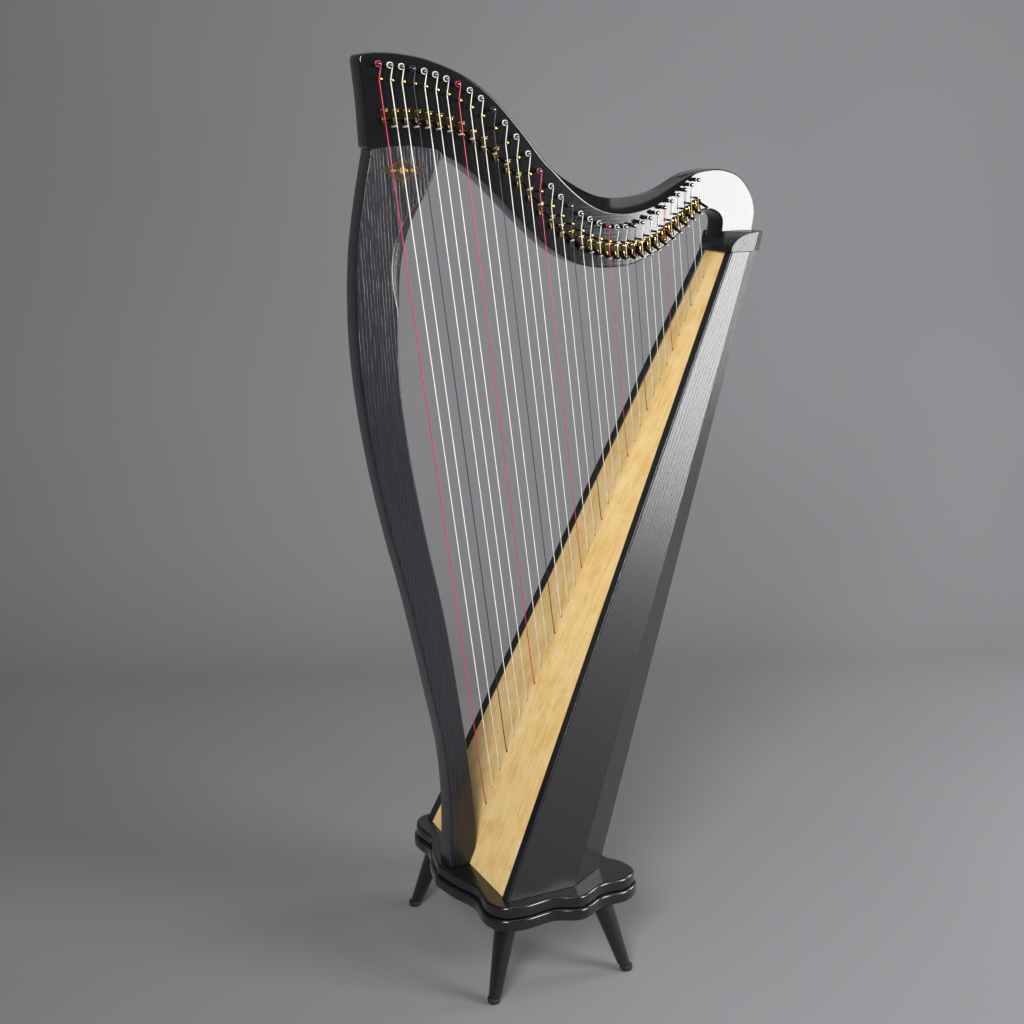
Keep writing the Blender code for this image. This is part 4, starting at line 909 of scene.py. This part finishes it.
def string_route(i):
    """Out of the board, past the bridge pin, then a helix round the tuning pin towards the neck.

    Both bends are parabolas between three points. The helix climbs 2.06 string radii a turn.
    """
    places = ("hole", "eyelet", "contact", "tuning", "radius")
    hole, eyelet, contact, tuning, r = (STRINGS[key][i] for key in places)
    inside = hole + INTO_BOARD * 0.006
    reach = TUNING_PIN_RADIUS + r
    turn = np.linspace(0, 2 * math.pi * WINDINGS, int(22 * WINDINGS))
    coil = np.column_stack([
        tuning[0] + reach * np.cos(turn),
        tuning[1] - WINDING_OFFSET + turn / (2 * math.pi) * 2.06 * r,
        tuning[2] + reach * np.sin(turn),
    ])
    up = unit(coil[0] - contact)
    down = unit(eyelet - contact)
    t = np.linspace(0, 1, 5)[:, None]
    bend = 0.0012
    low, high = contact + down * bend, contact + up * bend
    over = (1 - t) ** 2 * low + 2 * t * (1 - t) * contact + t**2 * high
    t = np.linspace(0, 1, 4)[:, None]
    start, edge = hole + INTO_BOARD * 0.0006, eyelet - down * 0.0016
    rise = (1 - t) ** 2 * start + 2 * t * (1 - t) * eyelet + t**2 * edge
    return np.vstack([inside, rise, over, coil[0] - up * 0.002, coil])


def build_strings():
    """Each string is a round section carried along its route; the three colours are three pieces."""
    groups = {"natural": [], "red": [], "blue": []}
    for i in range(COUNT):
        colour = "red" if i + 1 in RED_STRINGS else "blue" if i + 1 in BLUE_STRINGS else "natural"
        groups[colour].append(tube(string_route(i), STRINGS["radius"][i]))
    for colour, material in (("natural", NATURAL), ("red", RED), ("blue", BLUE)):
        replaced = ["strings"] if colour == "natural" else ()
        put(f"strings_{colour}", together(groups[colour]), material, replaces=replaced)


def build_rib():
    """The inner rib that anchors the strings: a flat batten behind the ridge."""
    low, high = STRINGS["hole"][0, 2] - 0.010, STRINGS["hole"][-1, 2] + 0.010
    z = np.linspace(low, high, 12)
    flat = half_width(z) - EDGE_STRIP_WIDTH
    half = np.minimum(0.013, flat - 0.004)
    x = board_front(z) + along_level(SOUNDBOARD) - along_level(crown(z, half / flat)) + 0.0006 + SHIFT
    corners = ((0.0, 1), (0.006, 1), (0.006, -1), (0.0, -1))
    rings = np.stack([np.column_stack([x + dx, half * k, z]) for dx, k in corners], 1)
    put("string_rib", grid(rings), SPRUCE)


def build_eyelets():
    """Small brass grommets round the strings: a ring section turned about the hole's axis."""
    a = np.linspace(0, 2 * math.pi, 8, endpoint=False)
    shapes = []
    side = np.array((0.0, 1.0, 0.0))
    axes = (np.cross(side, -INTO_BOARD), side, -INTO_BOARD)
    for hole, r in zip(STRINGS["hole"], STRINGS["radius"]):
        middle, thick = r + 0.00085, 0.0006
        section = np.column_stack([middle + thick * np.cos(a), 0.0003 + thick * 0.7 * np.sin(a)])
        turn = np.arange(14)[:, None] * 2 * math.pi / 14
        out, height = section.T
        rings = np.stack([out * np.cos(turn), out * np.sin(turn), height + 0 * turn], -1)
        shapes.append(placed(grid(rings, round_rows=True), axes, hole))
    put("string_eyelets", together(shapes), BRASS)


def squared(profile, sides=24):
    """A pin about z whose section goes from round to square: radius / max(|cos|, |sin|) ** q."""
    r, z, q = np.array(profile, float).T
    a = (np.arange(sides) + 0.5) * 2 * math.pi / sides
    flat = np.maximum(np.abs(np.cos(a)), np.abs(np.sin(a)))[None] ** q[:, None]
    radius = r[:, None] / flat
    return grid(np.stack([radius * np.cos(a), radius * np.sin(a), np.repeat(z[:, None], sides, 1)], -1))


def build_pins():
    """Tuning pins through the neck, round at the string's end and square at the key's; bridge pins.

    A bridge pin's head is a dome: r = HEAD_RADIUS cos(0.93 a), z = HEAD_RISE sin a.
    """
    r, tip = TUNING_PIN_RADIUS, TUNING_PIN_END
    far = -2 * HALF - TUNING_PIN_REACH
    pin = squared((
        (0.0019, far, 1), (0.0023, far + 0.0006, 1), (0.0024, far + 0.015, 1), (r, far + 0.018, 0),
        (r, 0.0105, 0), (r, tip - 0.0008, 0), (r - 0.0002, tip - 0.0003, 0), (r - 0.0007, tip, 0),
    ))
    pins = together([placed(pin, OUT_OF_NECK, at) for at in STRINGS["tuning"]])
    put("tuning_pins", pins, BLUED_STEEL)
    # A bright nickel bar across each tip is painted highlight: the glint of the hole that the string's end
    # passes through
    glint = bar((-0.0020, -0.00045, 0), (0.0020, 0.00045, 0.00025), 0.0001)
    ends = [placed(glint, OUT_OF_NECK, at + (0, -tip, 0)) for at in STRINGS["tuning"]]
    put("tuning_pin_painted_glints", together(ends), NICKEL)
    b, end = BRIDGE_PIN_RADIUS, BRIDGE_PIN_LENGTH
    groove = b * 0.85
    profile = ((b * 1.1, 0), (b, 0.0004), (b, end - 0.0042), (groove, end - 0.0036), (groove, end - 0.0020))
    stem = turned(profile)
    stems = together([placed(stem, OUT_OF_NECK, at) for at in STRINGS["pin"]])
    put("bridge_pins", stems, DARK_BRASS)
    a = np.linspace(0, math.pi / 2, 7)
    dome = np.column_stack([HEAD_RADIUS * np.cos(a * 0.93), end - 0.0017 + HEAD_RISE * np.sin(a)])
    head = turned(((b * 0.8, end - 0.0021), (0.0021, end - 0.0020), *dome))
    heads = together([placed(head, OUT_OF_NECK, at) for at in STRINGS["pin"]])
    put("bridge_pin_heads", heads, BRASS)


# --- Levers


def lever_axes(i):
    """The lever's axes: down the string, across it, and out from the neck."""
    return np.array([STRINGS["down"][i], STRINGS["across"][i], (0.0, -1.0, 0.0)])


def graded(i, sizes):
    """A size between that of the bass end and that of the treble end."""
    return sizes[0] + (sizes[1] - sizes[0]) * STRINGS["share"][i]


def screw_head(radius):
    """A slotless domed head: r = radius cos(0.9 a), z = 0.45 radius sin a, on a rim 0.2 mm high."""
    a = np.linspace(0, math.pi / 2, 5)
    dome = np.column_stack([radius * np.cos(a * 0.9), 0.0002 + radius * 0.45 * np.sin(a)])
    return turned([(radius, 0.0), *dome], 14)


def build_brackets():
    """Base plates with two cheeks and the pivot pin between them; where there is room, a flange above.

    The long plates have two screws each, and the short ones of the treble one.
    """
    plates, bright = [], []
    floor = -PIVOT_HEIGHT
    left = CHEEK_LEFT + CHEEK
    for i in range(COUNT):
        axes, pivot = lever_axes(i), STRINGS["pivot"][i]
        right, above = graded(i, HANDLE_FAR) + GAP, STRINGS["above"][i]
        top, seat = floor + CHEEK_HEIGHT, floor + PLATE / 2
        long, rim = CHEEK_REACH + 0.0008, CHEEK_REACH + 0.0012
        base_low = (-above, -left - 0.00025, floor - 0.0003)
        base_high = (PLATE_SPAN - above, right + CHEEK + 0.00025, floor + PLATE)
        dark = [
            bar(base_low, base_high),
            bar((-CHEEK_REACH, right, seat), (CHEEK_REACH, right + CHEEK, top)),
            bar((-long, -left, seat), (long, -CHEEK_LEFT, top)),
        ]
        # The left cheek stands along the string; on its top edge a strip 1.6 mm wide of brighter brass than
        # the plate is painted highlight
        edge = bar((-rim, -left - 0.0003, top - 0.0002), (rim, -CHEEK_LEFT + 0.0003, top + 0.0009), 0.0005)
        painted_glints_and_screws = [edge]
        if above > 0.009:
            lip = top - 0.0016
            dark.append(bar((-above, -left, seat), (-above + 0.0010, right, lip)))
            # The flange's top edge is a strip of brighter brass than the plate: painted highlight
            low, high = (-above, -left + 0.0006, lip), (-above + 0.0010, right - 0.0006, lip + 0.0006)
            painted_glints_and_screws.append(bar(low, high, 0.0002))
        length = right + CHEEK + left
        pin = turned((
            (0.0004, 0), (0.0011, 0.0002), (0.0011, 0.0006), (0.0007, 0.0007), (0.0007, length + 0.0004),
            (0.0013, length + 0.0005), (0.0013, length + 0.0009), (0.0006, length + 0.0012),
        ), 12)
        dark.append(placed(pin, ALONG_PIVOT, (0, -left - 0.0005, 0)))
        screws = [(-above + 0.0034, right - 0.0022)] if above > 0.007 else []
        for u, v in [*screws, (PLATE_SPAN - above - 0.0034, right * 0.45)]:
            painted_glints_and_screws.append(placed(screw_head(0.0017), np.eye(3), (u, v, floor + PLATE)))
        plates.extend(placed(part, axes, pivot) for part in dark)
        bright.extend(placed(part, axes, pivot) for part in painted_glints_and_screws)
    put("lever_plates", together(plates), DARK_BRASS)
    # Bright brass: the painted highlights on the cheeks' and flanges' top edges, and the screw heads
    put("lever_edge_glints_and_screws", together(bright), BRASS)


def build_lever(i):
    """One lever: a brass barrel with its cam, a dark handle slab, and a bright bar along its end.

    The handle is drawn along u and leaned out from the neck: u' = u cos l, w' = u sin l. The slab's
    section is a superellipse, |v|^5 + |w|^5 = 1, whose thickness tapers to the end. The cam is a nose
    that narrows from the barrel to the string's height.
    """
    name = f"lever_{i + 1:02d}"
    axes, pivot = lever_axes(i), STRINGS["pivot"][i]
    sizes = (HANDLE_LEAN, HANDLE_NEAR, HANDLE_FAR, HANDLE_REACH)
    lean, near, far, end = (graded(i, size) for size in sizes)
    tilt = np.array([(math.cos(lean), 0, math.sin(lean)), (0, 1, 0), (-math.sin(lean), 0, math.cos(lean))])

    def settle(shape):
        return placed(placed(shape, tilt, (0, 0, 0)), axes, pivot)

    length = far + CHEEK_LEFT - 2 * GAP
    r, bore = BARREL_RADIUS, 0.0011
    barrel = turned((
        (bore, 0), (r * 0.92, 0), (r, 0.0003), (r, length - 0.0003), (r * 0.92, length), (bore, length),
    ), 20)
    barrel = placed(barrel, ALONG_PIVOT, (0, GAP - CHEEK_LEFT, 0))
    reach = STRINGS["height"][i] - STRINGS["radius"][i] - GAP
    lead = graded(i, HANDLE_TURNED) - math.pi / 2
    a = np.linspace(-math.pi / 2, math.pi / 2, 9)
    nose = np.column_stack([reach - 0.0010 + 0.0010 * np.cos(a), 0.0010 * np.sin(a)])
    outline = np.vstack([(0, -r * 0.88), nose, (0, r * 0.88)])
    points, quads, caps = eased_plate(outline, CAM_WIDTH / 2, 0.0003, 0.0003, 3, 0.0001)
    cam = points @ np.array(SIDE_VIEW)
    nod = np.array([(math.cos(lead), 0, -math.sin(lead)), (0, 1, 0), (math.sin(lead), 0, math.cos(lead))])
    hub = together([settle(barrel), settle((cam @ nod, quads, caps))])
    put(name + "_hub", hub, AGED_BRASS, body=name, replaces=[name])

    t = HANDLE_THICKNESS / 2
    u = np.linspace(-r * 0.8, end - 0.0009, 12)
    thick = np.interp(u, (-r, 0, end * 0.3, end), (r * 0.7, r * 0.9, t * 1.3, t))
    a = np.linspace(0, 2 * math.pi, 24, endpoint=False)
    cx = np.sign(np.cos(a)) * np.abs(np.cos(a)) ** 0.4
    cy = np.sign(np.sin(a)) * np.abs(np.sin(a)) ** 0.4
    v = (near + far) / 2 + (far - near) / 2 * cx
    along, aside = np.meshgrid(u, v, indexing="ij")
    slab = grid(np.stack([along, aside, thick[:, None] * cy], -1))
    put(name + "_handle", settle(slab), BRONZED, body=name)
    cap = bar((end - 0.0014, near - GAP, -t - GAP), (end + GAP, far + GAP, t + GAP), 0.0003)
    put(name + "_tip", settle(cap), NICKEL, body=name)


build_room()
build_base()
build_legs()
build_soundbox()
build_pillar()
build_neck()
build_badge()
build_strings()
build_rib()
build_eyelets()
build_pins()
build_brackets()
for number in range(COUNT):
    build_lever(number)
